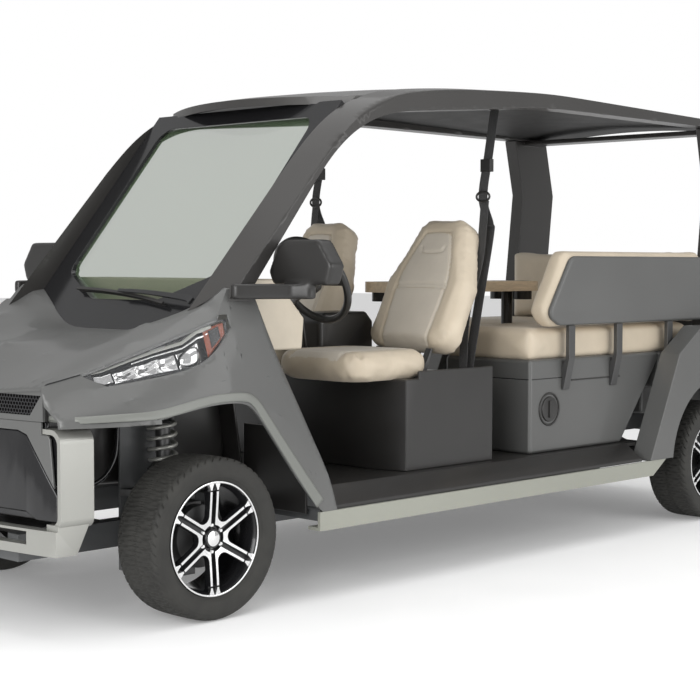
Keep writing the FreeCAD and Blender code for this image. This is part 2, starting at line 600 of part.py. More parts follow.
HOOD_STATION_SHARES = [
    (0.000, [(0.685, 0.683), (0.644, 0.679), (0.577, 0.674), (0.47, 0.673), (0.268, 0.674), (0, 0.674)]),
    (0.071, [(0.694, 0.715), (0.644, 0.719), (0.577, 0.717), (0.47, 0.712), (0.268, 0.713), (0, 0.718)]),
    (0.175, [(0.732, 0.744), (0.671, 0.761), (0.577, 0.762), (0.47, 0.754), (0.268, 0.759), (0, 0.783)]),
    (0.246, [(0.752, 0.770), (0.698, 0.789), (0.577, 0.793), (0.47, 0.783), (0.268, 0.791), (0, 0.818)]),
    (0.317, [(0.776, 0.796), (0.711, 0.816), (0.577, 0.824), (0.47, 0.812), (0.268, 0.804), (0, 0.827)]),
    (0.392, [(0.803, 0.824), (0.732, 0.848), (0.577, 0.857), (0.47, 0.832), (0.268, 0.821), (0, 0.834)]),
    (0.483, [(0.828, 0.857), (0.752, 0.883), (0.604, 0.890), (0.47, 0.863), (0.268, 0.841), (0, 0.843)]),
    (0.583, [(0.856, 0.897), (0.792, 0.942), (0.644, 0.919), (0.47, 0.883), (0.268, 0.848), (0, 0.848)]),
    (0.642, [(0.813, 0.983), (0.792, 0.987), (0.698, 0.960), (0.49, 0.906), (0.268, 0.852), (0, 0.852)]),
    (0.804, [(0.813, 0.996), (0.792, 0.998), (0.711, 0.987), (0.51, 0.942), (0.268, 0.870), (0, 0.870)]),
]
FENDER_STATION_SHARES = [
    (0.000, [(0.685, 0.683), (0.698, 0.650), (0.745, 0.628), (0.765, 0.612), (0.770, 0.590)]),
    (0.071, [(0.694, 0.715), (0.718, 0.668), (0.765, 0.641), (0.795, 0.621), (0.801, 0.600)]),
    (0.175, [(0.732, 0.744), (0.762, 0.700), (0.832, 0.659), (0.872, 0.626), (0.882, 0.600)]),
    (0.246, [(0.752, 0.770), (0.805, 0.713), (0.872, 0.668), (0.913, 0.625), (0.919, 0.600)]),
    (0.317, [(0.776, 0.796), (0.835, 0.728), (0.897, 0.682), (0.936, 0.621), (0.942, 0.602)]),
    (0.392, [(0.803, 0.824), (0.866, 0.743), (0.917, 0.691), (0.949, 0.632), (0.954, 0.600)]),
    (0.483, [(0.828, 0.857), (0.897, 0.753), (0.933, 0.700), (0.954, 0.653), (0.961, 0.580)]),
    (0.583, [(0.856, 0.897), (0.902, 0.807), (0.940, 0.717), (0.958, 0.659), (0.964, 0.538)]),
    (0.642, [(0.813, 0.983), (0.879, 0.879), (0.930, 0.735), (0.958, 0.664), (0.966, 0.502)]),
    (0.804, [(0.813, 0.996), (0.875, 0.852), (0.926, 0.700), (0.958, 0.574), (0.977, 0.386)]),
    (0.900, [(0.826, 0.852), (0.897, 0.682), (0.940, 0.565), (0.969, 0.448), (0.987, 0.296)]),
    (1.000, [(0.859, 0.574), (0.923, 0.502), (0.960, 0.422), (0.987, 0.350), (1.000, 0.224)]),
]
FENDER_INWARD_SHARES = [(0.0, -1.0), (-0.5, -0.85), (-0.65, -0.75), (-0.95, -0.3), (-1.0, 0.0)]


def station_place(share):
    """A place along the fender as an expression, from its front end to its rear end."""
    return f"Dims.fender_front + {share} * (Dims.fender_rear - Dims.fender_front)"


def scaled(points):
    """Shares of the flare's half width and the pillar foot's height as real places."""
    return [(x * d.flare_half, z * d.pillar_foot_z) for x, z in points]


def nose_y(x, inset=0):
    """The place along the cart of the nose's arc, seen from above, at a distance from its middle."""
    return d.nose_front + inset + (d.nose_side - d.nose_front) * (x / d.flare_half) ** 2


def trim_nose(body):
    """Cut away what lies ahead of the nose's arc."""
    half, ahead = d.flare_half, d.fender_front - d.cut_overrun
    drawing = new_sketch(body, "XY")
    ends = [Vector(-half, nose_y(half), 0), Vector(half, nose_y(half), 0)]
    corners = [Vector(half, ahead, 0), Vector(-half, ahead, 0)]
    drawing.addGeometry(Part.Arc(ends[0], Vector(0, nose_y(0), 0), ends[1]), False)
    for first, last in zip([ends[1], *corners], [*corners, ends[0]]):
        drawing.addGeometry(Part.LineSegment(first, last), False)
    extrude(body, drawing, "XY", "0", "Dims.pillar_foot_z", cut=True)


def hood_skin(name, top, wall):
    """A shell under the hood's outer surface, from one depth below it down through a thickness."""
    body = new_body(name)
    stations = []
    for share, points in HOOD_STATION_SHARES:
        half = [(x, z - top) for x, z in scaled(points)]
        outer = half + [(-x, z) for x, z in reversed(half[:-1])]
        inner = [(x, z - wall) for x, z in reversed(outer)]
        stations.append((station_place(share), outer + inner))
    lofted(body, stations)
    return body


def make_hood():
    """Hood skin from the nose to the foot of the windscreen, edged by the two fenders."""
    body = hood_skin("hood", 0, d.panel_wall)
    trim_nose(body)
    keep(body, "hood")


def front_block(name, drop):
    """Everything further below the hood and fenders than a depth: a tool that trims what meets them."""
    body = new_body(name)
    stations = []
    for (share, points), (_, flank) in zip(HOOD_STATION_SHARES, FENDER_STATION_SHARES):
        half = [(x, z - drop) for x, z in scaled(flank[:0:-1] + points)]
        outer = half + [(-x, z) for x, z in reversed(half[:-1])]
        ends = [(outer[-1][0], 0), (outer[0][0], 0)]
        stations.append((station_place(share), outer + ends))
    lofted(body, stations)
    return body


def make_front_fenders():
    """Outer front skins with the wheel arch and the door edge cut out, and the lamps let into them."""
    body = new_body("fender_loft")
    stations = []
    for share, points in FENDER_STATION_SHARES:
        outer = scaled(points)
        inner = [(x + u * d.panel_wall, z + v * d.panel_wall)
                 for (x, z), (u, v) in zip(outer, FENDER_INWARD_SHARES)]
        stations.append((station_place(share), outer + inner[::-1]))
    lofted(body, stations)
    trim_nose(body)
    over = d.cut_overrun
    arch = [(d.arch_lip_rear, 0), (d.arch_lip_rear, d.arch_lip_z),
            (d.arch_crest_front, d.arch_crest_z), (d.arch_crest_rear, d.arch_crest_z),
            (d.arch_toe_y, d.arch_toe_z), (d.arch_toe_y, 0)]
    sweep = ("0", "Dims.flare_half + Dims.cut_overrun")
    soft = d.arch_round
    prism(body, "YZ", arch, *sweep, [0, 0, soft, soft, 0, 0], cut=True)
    rear = d.fender_rear + over
    foot = d.sill_top + d.seat_gap
    edge = [(d.arch_toe_y - over, 0), (d.arch_toe_y - over, foot), (d.door_foot_y, foot),
            (d.door_foot_y, d.door_foot_z), (d.door_edge_y, d.door_knee_z),
            (d.foot_rear_y, d.pillar_foot_z + over), (rear, d.pillar_foot_z + over), (rear, 0)]
    prism(body, "YZ", edge, *sweep, 0, cut=True)
    skin = combine("Common", "lamp_lens", body, lamp_prism("lamp_outline", 0))
    opened = combine("Cut", "front_fender_skin", body, lamp_prism("lamp_opening", d.lamp_gap))
    keep(pair(skin, "headlamps"), "headlamps")
    keep(opened, "front_fender_left")
    keep(mirrored(opened, "front_fender_right"), "front_fender_right")


def lamp_prism(name, grow):
    """The headlamp's swept outline from the side, from its tip at the nose back to its tall heel."""
    body = new_body(name)
    outline = [(d.lamp_tip_y - grow, d.lamp_tip_z), (d.lamp_foot_y - grow, d.lamp_foot_z - grow),
               (d.lamp_waist_y, d.lamp_waist_z - grow), (d.lamp_corner_y + grow, d.lamp_corner_z - grow),
               (d.lamp_heel_y + grow, d.lamp_heel_z), (d.lamp_heel_y + grow, d.lamp_high),
               (d.lamp_foot_y - grow, d.lamp_high)]
    prism(body, "YZ", outline, "Dims.nose_half", "Dims.flare_half")
    return body


# Front end

def arc_band(name, inset, wall, half, low, high):
    """An upright panel that follows the nose's arc behind it, between two heights."""
    body = new_body(name)
    drawing = new_sketch(body, "XY", low)
    faces = [[Vector(x, nose_y(x, depth), 0) for x in (-half, 0, half)] for depth in (inset, inset + wall)]
    drawing.addGeometry(Part.Arc(*faces[0]), False)
    drawing.addGeometry(Part.LineSegment(faces[0][2], faces[1][2]), False)
    drawing.addGeometry(Part.Arc(*reversed(faces[1])), False)
    drawing.addGeometry(Part.LineSegment(faces[1][0], faces[0][0]), False)
    extrude(body, drawing, "XY", low, high)
    return body


def front_window(body, points):
    """Cut an outline of (x, z) points right through the nose from front to back."""
    prism(body, "XZ", points, "Dims.fender_front", "Dims.band_rear", 0, cut=True)


def face_points():
    """The black fascia's outline on its right half, from its foot up to its top edge."""
    return [(d.fascia_half, d.fascia_low), (d.fascia_half, d.fascia_flank_z),
            (d.fascia_corner, d.fascia_corner_z), (d.fascia_shoulder, d.fascia_high)]


def make_nose():
    """Panel under the hood's lip with the grille opening, and the grille behind it."""
    panel = arc_band("nose_band", d.nose_inset, d.panel_wall, d.nose_half, "Dims.nose_low",
                     "Dims.nose_high")
    front_window(panel, sides([(d.grille_half_high, d.grille_high), (d.grille_half_low, d.grille_low)]))
    under = front_block("under_hood", d.panel_wall + d.seat_gap)
    keep(combine("Common", "nose_panel", panel, under), "nose_panel")
    grille = arc_band("grille", d.grille_inset, d.grille_wall, d.nose_half, "Dims.nose_low",
                      "Dims.grille_high")
    keep(grille, "grille")


def clear_of_band(body):
    """Cut the corners away where the bumper's side bands turn inwards."""
    left, low = d.band_return - d.lamp_gap, d.band_top - d.band_wall - d.lamp_gap
    right, high = d.band_outer, d.nose_low + d.cut_overrun
    for side in (1, -1):
        front_window(body, [(side * x, z) for x, z in [
            (left, low), (right - d.band_round, low), (right, low - d.band_round), (right, high),
            (left, high)]])


def make_fascia():
    """Grey surround and the black fascia with its raised face, under the nose panel."""
    surround = arc_band("fascia_surround", d.nose_inset, d.panel_wall, d.fascia_half,
                        "Dims.surround_low", "Dims.nose_low - Dims.seat_gap")
    over = d.fascia_half + d.cut_overrun
    top = d.nose_low + d.cut_overrun
    for side in (1, -1):
        front_window(surround, [(side * x, z) for x, z in [
            (d.surround_half, top), (d.surround_waist, d.surround_waist_z),
            (d.fascia_half - d.cut_overrun, d.surround_low), (over, d.surround_low), (over, top)]])
    face = face_points()
    gap = d.lamp_gap
    front_window(surround, sides([(face[0][0], d.surround_low - gap), (face[1][0], face[1][1] + gap),
                                  (face[2][0] + gap, face[2][1] + gap), (face[3][0], face[3][1] + gap)]))
    clear_of_band(surround)
    keep(surround, "fascia_surround")
    back_inset = d.nose_inset + d.fascia_relief
    fascia = arc_band("fascia_back", back_inset + d.seat_gap, d.fascia_wall, d.fascia_half,
                      "Dims.fascia_low", "Dims.nose_low - Dims.seat_gap")
    clear_of_band(fascia)
    raised = arc_band("fascia_face", d.nose_inset, d.fascia_relief + d.fascia_wall, d.fascia_half,
                      "Dims.fascia_low", "Dims.fascia_high")
    for side in (1, -1):
        front_window(raised, [(side * x, z) for x, z in [
            face[1], face[2], face[3], (face[3][0], top), (over, top), (over, face[1][1])]])
    scoop = arc_band("fascia_scoop", 0, d.nose_inset + d.scoop_depth, d.fascia_half,
                     "Dims.fascia_low - Dims.cut_overrun", "Dims.scoop_high")
    for side in (1, -1):
        front_window(scoop, [(side * x, z) for x, z in [
            (d.scoop_half, d.scoop_high), (d.scoop_half_low, d.fascia_low - d.cut_overrun),
            (over, d.fascia_low - d.cut_overrun), (over, d.scoop_high)]])
    whole = combine("Fuse", "fascia_whole", fascia, raised)
    keep(combine("Cut", "front_fascia", whole, scoop), "front_fascia")


def make_front_bumper():
    """Bar along the nose's arc with a slot, a horn at each end, and the band that wraps up the side."""
    bar = arc_band("front_bumper", -(d.front_overhang + d.nose_front), d.bumper_depth, d.bumper_half,
                   "Dims.bumper_low", "Dims.bumper_high")
    slot = d.slot_half_width
    prism(bar, "XZ", [(-slot, d.slot_low), (slot, d.slot_low), (slot, d.slot_high), (-slot, d.slot_high)],
          "-Dims.front_overhang - Dims.cut_overrun", "Dims.nose_side", 0, cut=True)
    horn = [(d.horn_front, d.bumper_low), (d.horn_rear - d.horn_rake, d.bumper_low),
            (d.horn_rear, d.band_low + d.band_wall), (d.horn_front, d.band_low + d.band_wall)]
    out, wall, soft = d.band_outer, d.band_wall, d.band_round
    outline = [(d.band_return, d.band_top), (out, d.band_top), (out, d.band_low), (d.horn_inner, d.band_low),
               (d.horn_inner, d.band_low + wall), (out - wall, d.band_low + wall),
               (out - wall, d.band_top - wall), (d.band_return, d.band_top - wall)]
    radii = [0, soft, soft, 0, 0, soft - wall, soft - wall, 0]
    prism(bar, "YZ", horn, "Dims.horn_inner", "Dims.bumper_half")
    prism(bar, "YZ", horn, "-Dims.bumper_half", "-Dims.horn_inner")
    for side in (1, -1):
        prism(bar, "XZ", [(side * x, z) for x, z in outline], "Dims.band_front", "Dims.band_rear", radii)
    keep(bar, "front_bumper")


# Tail lamps

def make_tail_lamps():
    """Upright lamps on the tail panel."""
    lamp = new_body("tail_lamp")
    half = d.tail_lamp_half
    box(lamp, (d.tail_lamp_x - half, d.tail_lamp_x + half),
        (d.rear_panel_rear + d.seat_gap, d.rear_panel_rear + d.seat_gap + d.tail_lamp_depth),
        "Dims.tail_lamp_low", "Dims.tail_lamp_high")
    keep(pair(lamp, "tail_lamps"), "tail_lamps")


def screen_band(name, front, back):
    """A flat pane that leans back from the hood to the roof, between two depths behind its face."""
    body = new_body(name)
    foot = Vector(d.glass_foot_y, d.glass_foot_z, 0)
    top = Vector(d.glass_top_y, d.glass_top_z, 0)
    lean = (top - foot).normalize()
    behind = Vector(lean.y, -lean.x, 0)
    points = [foot + behind * front, top + behind * front, top + behind * back, foot + behind * back]
    reach = "Dims.cab_inner - Dims.seat_gap"
    prism(body, "YZ", [(p.x, p.y) for p in points], f"-({reach})", reach)
    return body


def window_outline(grow=0):
    """The clear opening, dipped in the middle of its lower edge."""
    half, dip = d.window_half - grow, d.window_dip_half
    return [(-half, d.window_top - grow), (-half, d.window_low + grow), (-dip, d.window_dip + grow),
            (dip, d.window_dip + grow), (half, d.window_low + grow), (half, d.window_top - grow)]


def make_windscreen(trim, roof):
    """Black surround with the clear pane set into it."""
    frame = screen_band("screen_band", 0, d.screen_wall)
    prism(frame, "XZ", window_outline(), "-Dims.cut_overrun",
          "Dims.glass_top_y + Dims.screen_wall + Dims.cut_overrun", d.window_round, cut=True)
    lower = combine("Cut", "windscreen_surround", frame, trim)
    keep(combine("Cut", "windscreen_frame", lower, roof), "windscreen_frame")
    pane = screen_band("pane_band", d.screen_wall - d.glass_wall - d.glass_wall, d.screen_wall - d.glass_wall)
    opening = new_body("pane_outline")
    prism(opening, "XZ", window_outline(d.seat_gap), "-Dims.cut_overrun",
          "Dims.glass_top_y + Dims.screen_wall + Dims.cut_overrun", d.window_round)
    keep(combine("Common", "windscreen_glass", pane, opening), "windscreen_glass")


# Cab frames and roof

def rail_height(y):
    """The height of the roof rails' top edge at a place along the cart."""
    known = [(d.bend_y, d.roof_rail_z), (d.rail_top_y, d.rail_top_z), (d.rail_mid_y, d.roof_high),
             (d.rail_rear_y, d.rail_rear_top)]
    for (first, low), (last, high) in zip(known, known[1:]):
        if y <= last:
            break
    return low + (high - low) * (y - first) / (last - first)


def make_cab_frames(trim):
    """Each side's windscreen pillar, which bends into the roof rail and runs to the rear pillar."""
    body = new_body("cab_frame_side")
    sunk = d.foot_sunk
    lean = (d.bend_y - d.foot_front_y) / (d.roof_rail_z - d.foot_z)
    stations = []
    for place, sweep, drop in [("Dims.cab_inner", 0, 0), ("Dims.cab_outer", d.cab_sweep, d.rail_bevel)]:
        stations.append((place, [
            (d.foot_front_y + sweep - sunk * lean, d.foot_z - sunk), (d.bend_y + sweep, d.roof_rail_z - drop),
            (d.rail_top_y, d.rail_top_z - drop), (d.rail_mid_y, d.roof_high - drop),
            (d.rail_rear_y, d.rail_rear_top - drop), (d.rail_rear_y, d.rail_rear_low),
            (d.rail_mid_y, d.rail_mid_low), (d.rail_low_y, d.rail_low_z),
            (d.foot_rear_y, d.foot_z), (d.foot_rear_y, d.foot_z - sunk)]))
    lofted(body, stations, "YZ", [0, d.rail_front_round, 0, 0, 0, 0, 0, d.rail_under_round, 0, 0])
    left = combine("Cut", "cab_frame_left", body, trim)
    keep(left, "cab_frame_left")
    keep(mirrored(left, "cab_frame_right"), "cab_frame_right")


ROOF_CROWN_SHARES = [(-1, 0), (-0.6, 0.64), (0, 1), (0.6, 0.64), (1, 0)]


def make_roof():
    """Crowned roof panel between the rails, its front edge swept back towards the pillars."""
    body = new_body("roof_panel")
    half, wall = d.cab_inner - d.seat_gap, d.roof_wall
    spots = [(d.roof_front_y, d.roof_front_z), (d.rail_top_y, d.rail_top_z), (d.rail_mid_y, d.roof_high),
             (d.roof_rear_y, d.roof_rear_z)]
    stations = []
    for y, high in spots:
        top = [(half * x, high - d.roof_drop + d.roof_crown * z) for x, z in ROOF_CROWN_SHARES]
        stations.append((f"{y}", top + [(x, z - wall) for x, z in reversed(top)]))
    lofted(body, stations)
    drawing = new_sketch(body, "XY")
    ahead = d.roof_front_y - d.cut_overrun
    ends = [Vector(-half, d.roof_front_y + d.roof_sweep, 0), Vector(half, d.roof_front_y + d.roof_sweep, 0)]
    corners = [Vector(half, ahead, 0), Vector(-half, ahead, 0)]
    drawing.addGeometry(Part.Arc(ends[0], Vector(0, d.roof_front_y, 0), ends[1]), False)
    for first, last in zip([ends[1], *corners], [*corners, ends[0]]):
        drawing.addGeometry(Part.LineSegment(first, last), False)
    extrude(body, drawing, "XY", "0", "Dims.roof_high + Dims.roof_crown", cut=True)
    return keep(body, "roof_panel")


def make_rear_pillars():
    """Kinked rear pillars, with the header that joins them under the roof."""
    body = new_body("rear_pillars")
    deep = d.rear_pillar_depth
    top = d.rail_rear_low - d.seat_gap
    foot = d.locker_high + d.seat_gap
    outline = [(d.rear_pillar_top_y, top), (d.rear_pillar_top_y + deep, top),
               (d.rear_pillar_kink_y + deep, d.rear_pillar_kink_z),
               (d.rear_pillar_foot_y + deep, foot), (d.rear_pillar_foot_y, foot),
               (d.rear_pillar_kink_y, d.rear_pillar_kink_z)]
    prism(body, "YZ", outline, "Dims.rear_pillar_inner", "Dims.rear_pillar_outer")
    prism(body, "YZ", outline, "-Dims.rear_pillar_outer", "-Dims.rear_pillar_inner")
    middle = d.rear_pillar_top_y + deep / 2
    half = d.header_depth / 2
    box(body, (-d.rear_pillar_inner, d.rear_pillar_inner), (middle - half, middle + half),
        "Dims.roof_high - Dims.rail_rear_low - Dims.seat_gap - Dims.header_height",
        "Dims.roof_high - Dims.rail_rear_low - Dims.seat_gap")
    behind = d.rear_back_front + d.rear_back_depth + d.seat_gap
    box(body, (-d.rear_pillar_inner, d.rear_pillar_inner), (behind, behind + d.back_rail_wall),
        "Dims.back_rail_low", "Dims.back_rail_high")
    keep(body, "rear_pillars")


# Dashboard and steering

def make_dash():
    """Dashboard across the cab, flat against the hood's rear edge."""
    body = new_body("dashboard")
    hood_end = HOOD_STATION_SHARES[-1][0]
    face = d.fender_front + hood_end * (d.fender_rear - d.fender_front) + d.seat_gap
    rear, belly = d.dash_rear, d.dash_belly
    middle = (face + rear) / 2
    outline = [(face, d.dash_low), (face, d.dash_top), (middle, d.dash_top), (rear, belly),
               (rear - d.panel_wall, d.dash_low)]
    prism(body, "YZ", outline, "-Dims.dash_half", "Dims.dash_half",
          [0, 0, d.panel_wall, d.panel_wall, d.panel_wall])
    return keep(body, "dashboard")


def column_rotation():
    """Turns a piece drawn along Z so that it points back and up along the steering column."""
    return Rotation(Vector(1, 0, 0), -d.column_tilt)


def make_steering(dash):
    """Steering wheel with three spokes, and the column that carries it out of the dashboard."""
    wheel = new_body("steering_wheel")
    rim = new_sketch(wheel, "XZ")
    reach, tube = d.steering_radius, d.steering_tube
    bevel = tube * math.tan(math.pi / 8)
    draw(rim, [(reach + u, v) for u, v in [
        (tube, -bevel), (tube, bevel), (bevel, tube), (-bevel, tube), (-tube, bevel), (-tube, -bevel),
        (-bevel, -tube), (bevel, -tube)]])
    turn = wheel.newObject("PartDesign::Revolution", "steering_rim")
    turn.Profile = rim
    turn.ReferenceAxis = (rim, ["V_Axis"])
    turn.Angle = FULL_TURN
    rim.Visibility = False
    wheel.Tip = turn
    disc(wheel, "XY", d.steering_hub_radius, "-Dims.steering_hub_depth", "0")
    half, wall = d.spoke_width / 2, "Dims.spoke_wall"
    box(wheel, (-reach, reach), (-half, half), f"-{wall}", "0")
    box(wheel, (-half, half), (-reach, 0), f"-{wall}", "0")
    place_at(wheel, d.wheel_x, d.steering_y, d.steering_z, column_rotation())
    keep(wheel, "steering_wheel")
    column = new_body("column_tube")
    top = "-Dims.steering_hub_depth - Dims.seat_gap"
    disc(column, "XY", d.column_radius, f"{top} - Dims.column_length", top)
    place_at(column, d.wheel_x, d.steering_y, d.steering_z, column_rotation())
    keep(combine("Cut", "steering_column_trimmed", column, dash), "steering_column")


def make_mirrors():
    """Door mirrors: a folded shell on a thick arm that sweeps out and back from the pillar's foot."""
    body = new_body("mirror")
    soft, low, high = d.mirror_round, d.mirror_low, d.mirror_low + d.mirror_height
    inner, outer, front = d.mirror_inner, d.mirror_inner + d.mirror_width, d.mirror_front
    rear = front + d.mirror_depth
    fold = low + d.mirror_fold
    outline = [(inner, fold - soft), (inner + 2 * soft, high - soft), (inner + 4 * soft, high),
               (outer - 3 * soft, high), (outer, fold), (outer - soft, low), (inner + soft, low)]
    prism(body, "XZ", outline, "Dims.mirror_front", "Dims.mirror_front + Dims.mirror_depth", soft / 2)
    root, reach, wide = d.cab_outer + d.seat_gap, d.mirror_arm_reach, d.mirror_arm_width
    points = [(root, d.mirror_arm_front), (root + wide, d.mirror_arm_front), (reach - 2 * wide, front - wide),
              (reach, front), (reach, rear - wide), (reach - 3 * wide, rear - wide),
              (root + wide, d.mirror_arm_rear + wide), (root, d.mirror_arm_rear)]
    prism(body, "XY", points, "Dims.mirror_arm_z", "Dims.mirror_arm_z + Dims.mirror_arm_height", soft)
    keep(pair(body, "mirrors"), "mirrors")


# Front seats

def make_seats():
    """Two bucket seats: a cushion and a leaning back each, on steel brackets."""
    cushion = new_body("seat_cushion")
    half = d.cushion_half
    box(cushion, (d.seat_x - half, d.seat_x + half), (d.cushion_front, d.cushion_rear),
        "Dims.cushion_low", "Dims.cushion_high", d.cushion_round)
    back = new_body("seat_back")
    low, high = d.back_half_low, d.back_half_high
    waist = d.back_height / 2
    outline = [(-low, 0), (low, 0), (low, waist), (high, d.back_height), (-high, d.back_height),
               (-low, waist)]
    prism(back, "XZ", outline, "0", "Dims.back_thickness", d.back_round)
    lean = Rotation(Vector(1, 0, 0), -d.back_lean)
    place_at(back, d.seat_x, d.back_foot_y, d.back_foot_z, lean)
    keep(pair(combine("Compound", "seat", cushion, back), "front_seats"), "front_seats")
    plate = new_body("seat_bracket")
    wall = d.bracket_wall
    low_z, foot_z = d.cushion_low - d.seat_gap, d.back_foot_z
    rise = [(d.cushion_front + d.cushion_round, low_z - wall), (d.cushion_front + d.cushion_round, low_z),
            (d.cushion_rear + wall, low_z), (d.back_foot_y + wall, foot_z),
            (d.back_foot_y + 2 * wall, foot_z), (d.cushion_rear + 3 * wall, low_z - wall)]
    for spot in (d.seat_x - d.bracket_x, d.seat_x + d.bracket_x - d.bracket_width):
        prism(plate, "YZ", rise, f"{spot}", f"{spot + d.bracket_width}")
    trimmed = combine("Cut", "seat_bracket_trimmed", plate, back)
    keep(pair(trimmed, "seat_brackets"), "seat_brackets")


def make_seat_base():
    """Open-bottomed moulding under the front seats with a guard beside each hip."""
    body = new_body("seat_base")
    half, front, rear = d.base_half, d.base_front, d.base_rear
    cut, deep = d.base_corner_cut, d.base_corner_depth
    outline = [(-half, front + deep), (cut - half, front), (half - cut, front), (half, front + deep),
               (half, rear), (-half, rear)]
    high = "Dims.cushion_low - Dims.bracket_wall - 2 * Dims.seat_gap"
    prism(body, "XY", outline, "Dims.floor_top", high)
    wall = d.base_wall
    hollow = [(wall - half, front + deep + wall), (half - wall, front + deep + wall),
              (half - wall, rear - wall), (wall - half, rear - wall)]
    prism(body, "XY", hollow, "Dims.floor_top", f"{high} - Dims.base_wall", 0, cut=True)
    for side in (1, -1):
        xs = sorted((side * (half - d.guard_wall), side * half))
        box(body, xs, (d.guard_front, rear), high, "Dims.base_guard")
    keep(body, "seat_base")


def make_console():
    """Console between the front seats."""
    body = new_body("centre_console")
    low, high = d.cushion_low - d.bracket_wall - d.seat_gap, d.console_high
    front, rear, step = d.console_front, d.console_rear, d.console_step
    outline = [(front, low), (rear, low), (rear, high - step), (rear - step, high), (front + step, high),
               (front, high - step)]
    prism(body, "YZ", outline, "-Dims.console_half", "Dims.console_half", step / 2)
    keep(body, "centre_console")


# Rear lounge

def make_lounge():
    """L-shaped rear lounge: a locker along the left and a bench across the rear."""
    locker = new_body("lounge_locker")
    top, low = d.locker_high, d.floor_top
    outline = [(d.locker_front, low), (d.locker_foot_rear, low), (d.locker_top_rear, top - d.bracket_out),
               (d.locker_top_rear, top), (d.locker_front, top)]
    prism(locker, "YZ", outline, "Dims.locker_inner", "Dims.locker_outer")
    bench = new_body("lounge_bench")
    kick = d.rear_rail_bottom + d.rail_height
    under = kick + d.seat_gap
    back = d.rear_panel_y - d.seat_gap
    outline = [(d.rear_base_front, low), (d.rear_base_front, top), (back, top),
               (back, under), (d.floor_rear, under), (d.floor_rear, low)]
    prism(bench, "YZ", outline, "-Dims.rear_base_half", "Dims.locker_inner - Dims.seat_gap")
    corner_block = new_body("lounge_corner")
    box(corner_block, (d.locker_inner - d.seat_gap, d.rear_base_half),
        (d.locker_top_rear + d.seat_gap, back), f"{under}", "Dims.locker_high")
    deck = new_body("lounge_deck")
    edge = d.rear_fender_inner - d.seat_gap
    outline = sides([(d.locker_outer, d.locker_top_rear + d.seat_gap), (d.locker_outer, d.deck_step),
                     (edge, d.deck_step), (edge, back)])
    prism(deck, "XY", outline, "Dims.deck_low", "Dims.locker_high")
    bench = combine("Fuse", "bench", combine("Fuse", "bench_and_corner", bench, corner_block), deck)
    keep(combine("Compound", "lounge_parts", locker, bench), "lounge_base")
    rest = d.locker_high + d.seat_gap
    side = new_body("side_cushion")
    box(side, (d.side_cushion_inner, d.side_cushion_outer), (d.side_cushion_front, d.lounge_cushion_rear),
        f"{rest}", "Dims.lounge_high", d.cushion_edge)
    rear = new_body("rear_cushion")
    box(rear, (-d.rear_base_half, d.side_cushion_inner - d.cushion_gap),
        (d.rear_cushion_front, d.lounge_cushion_rear),
        f"{rest}", "Dims.lounge_high", d.cushion_edge)
    keep(combine("Compound", "lounge_cushions", side, rear), "lounge_cushions")
    rest_back = new_body("rear_backrest")
    box(rest_back, (-d.rear_base_half, d.rear_back_left),
        (d.rear_back_front, d.rear_back_front + d.rear_back_depth),
        "Dims.rear_back_low", "Dims.rear_back_high", d.cushion_edge)
    side_back = new_body("side_backrest")
    low_z, high_z = d.side_back_low, d.side_back_high
    outline = [(d.side_back_front_low, low_z), (d.side_back_rear, low_z), (d.side_back_rear, high_z),
               (d.side_back_front_high, high_z), (d.side_back_tip, low_z + d.side_back_round)]
    prism(side_back, "YZ", outline, "Dims.side_back_inner", "Dims.side_back_outer", d.side_back_round)
    keep(combine("Compound", "lounge_backrests", rest_back, side_back), "lounge_backrests")
    shell = new_body("backrest_shell")
    inset = d.shell_inset
    outline = [(d.side_back_front_low + inset, low_z + inset / 2), (d.shell_rear, low_z + inset / 2),
               (d.shell_rear, high_z - inset), (d.side_back_front_high + inset, high_z - inset),
               (d.side_back_tip + inset, low_z + d.side_back_round)]
    face = "Dims.side_back_outer + Dims.seat_gap"
    prism(shell, "YZ", outline, face, face + " + Dims.shell_wall", d.side_back_round)
    keep(shell, "backrest_shell")
    posts = new_body("backrest_brackets")
    gap = d.seat_gap
    in_x, out_x = d.locker_outer + gap, d.side_back_outer + gap
    for spot in (d.bracket_first, d.bracket_second, d.bracket_third):
        outline = [(in_x, d.bracket_low), (in_x + d.bracket_wall, d.bracket_low),
                   (out_x + d.bracket_out - d.bracket_wall, d.locker_high),
                   (out_x + d.bracket_out - d.bracket_wall, low_z + inset / 2 - gap),
                   (out_x, low_z + inset / 2 - gap), (out_x, d.locker_high), (in_x, d.locker_high - inset)]
        prism(posts, "XZ", outline, f"{spot}", f"{spot + d.bracket_post}")
    keep(posts, "backrest_brackets")


def make_table():
    """Lounge table on two posts, with four cup holders hung under it."""
    top = new_body("table")
    low = "Dims.table_high - Dims.table_thickness"
    box(top, (-d.table_half, d.table_half), (d.table_front, d.table_rear), low, "Dims.table_high",
        d.table_round)
    posts = new_body("table_posts")
    for spot in (d.post_first, d.post_second):
        disc(posts, "XY", d.post_radius, "Dims.floor_top", f"{low} - Dims.seat_gap", (0, spot))
    places = [(side * d.cup_offset, spot) for side in (-1, 1)
              for spot in (d.table_front + d.cup_inset, d.table_rear - d.cup_inset)]
    for place in places:
        disc(top, "XY", d.cup_radius, low, "Dims.table_high", place, cut=True)
    keep(top, "table")
    outer = d.cup_radius - d.seat_gap
    cup = new_body("cup_holders")
    for place in places:
        disc(cup, "XY", outer, "Dims.table_high - Dims.cup_depth - Dims.table_thickness",
             "Dims.table_high", place)
    for place in places:
        disc(cup, "XY", outer - d.cup_wall,
             "Dims.table_high - Dims.cup_depth - Dims.table_thickness + Dims.cup_wall",
             "Dims.table_high", place, cut=True)
    keep(posts, "table_supports")
    keep(cup, "cup_holders")


# Rear body

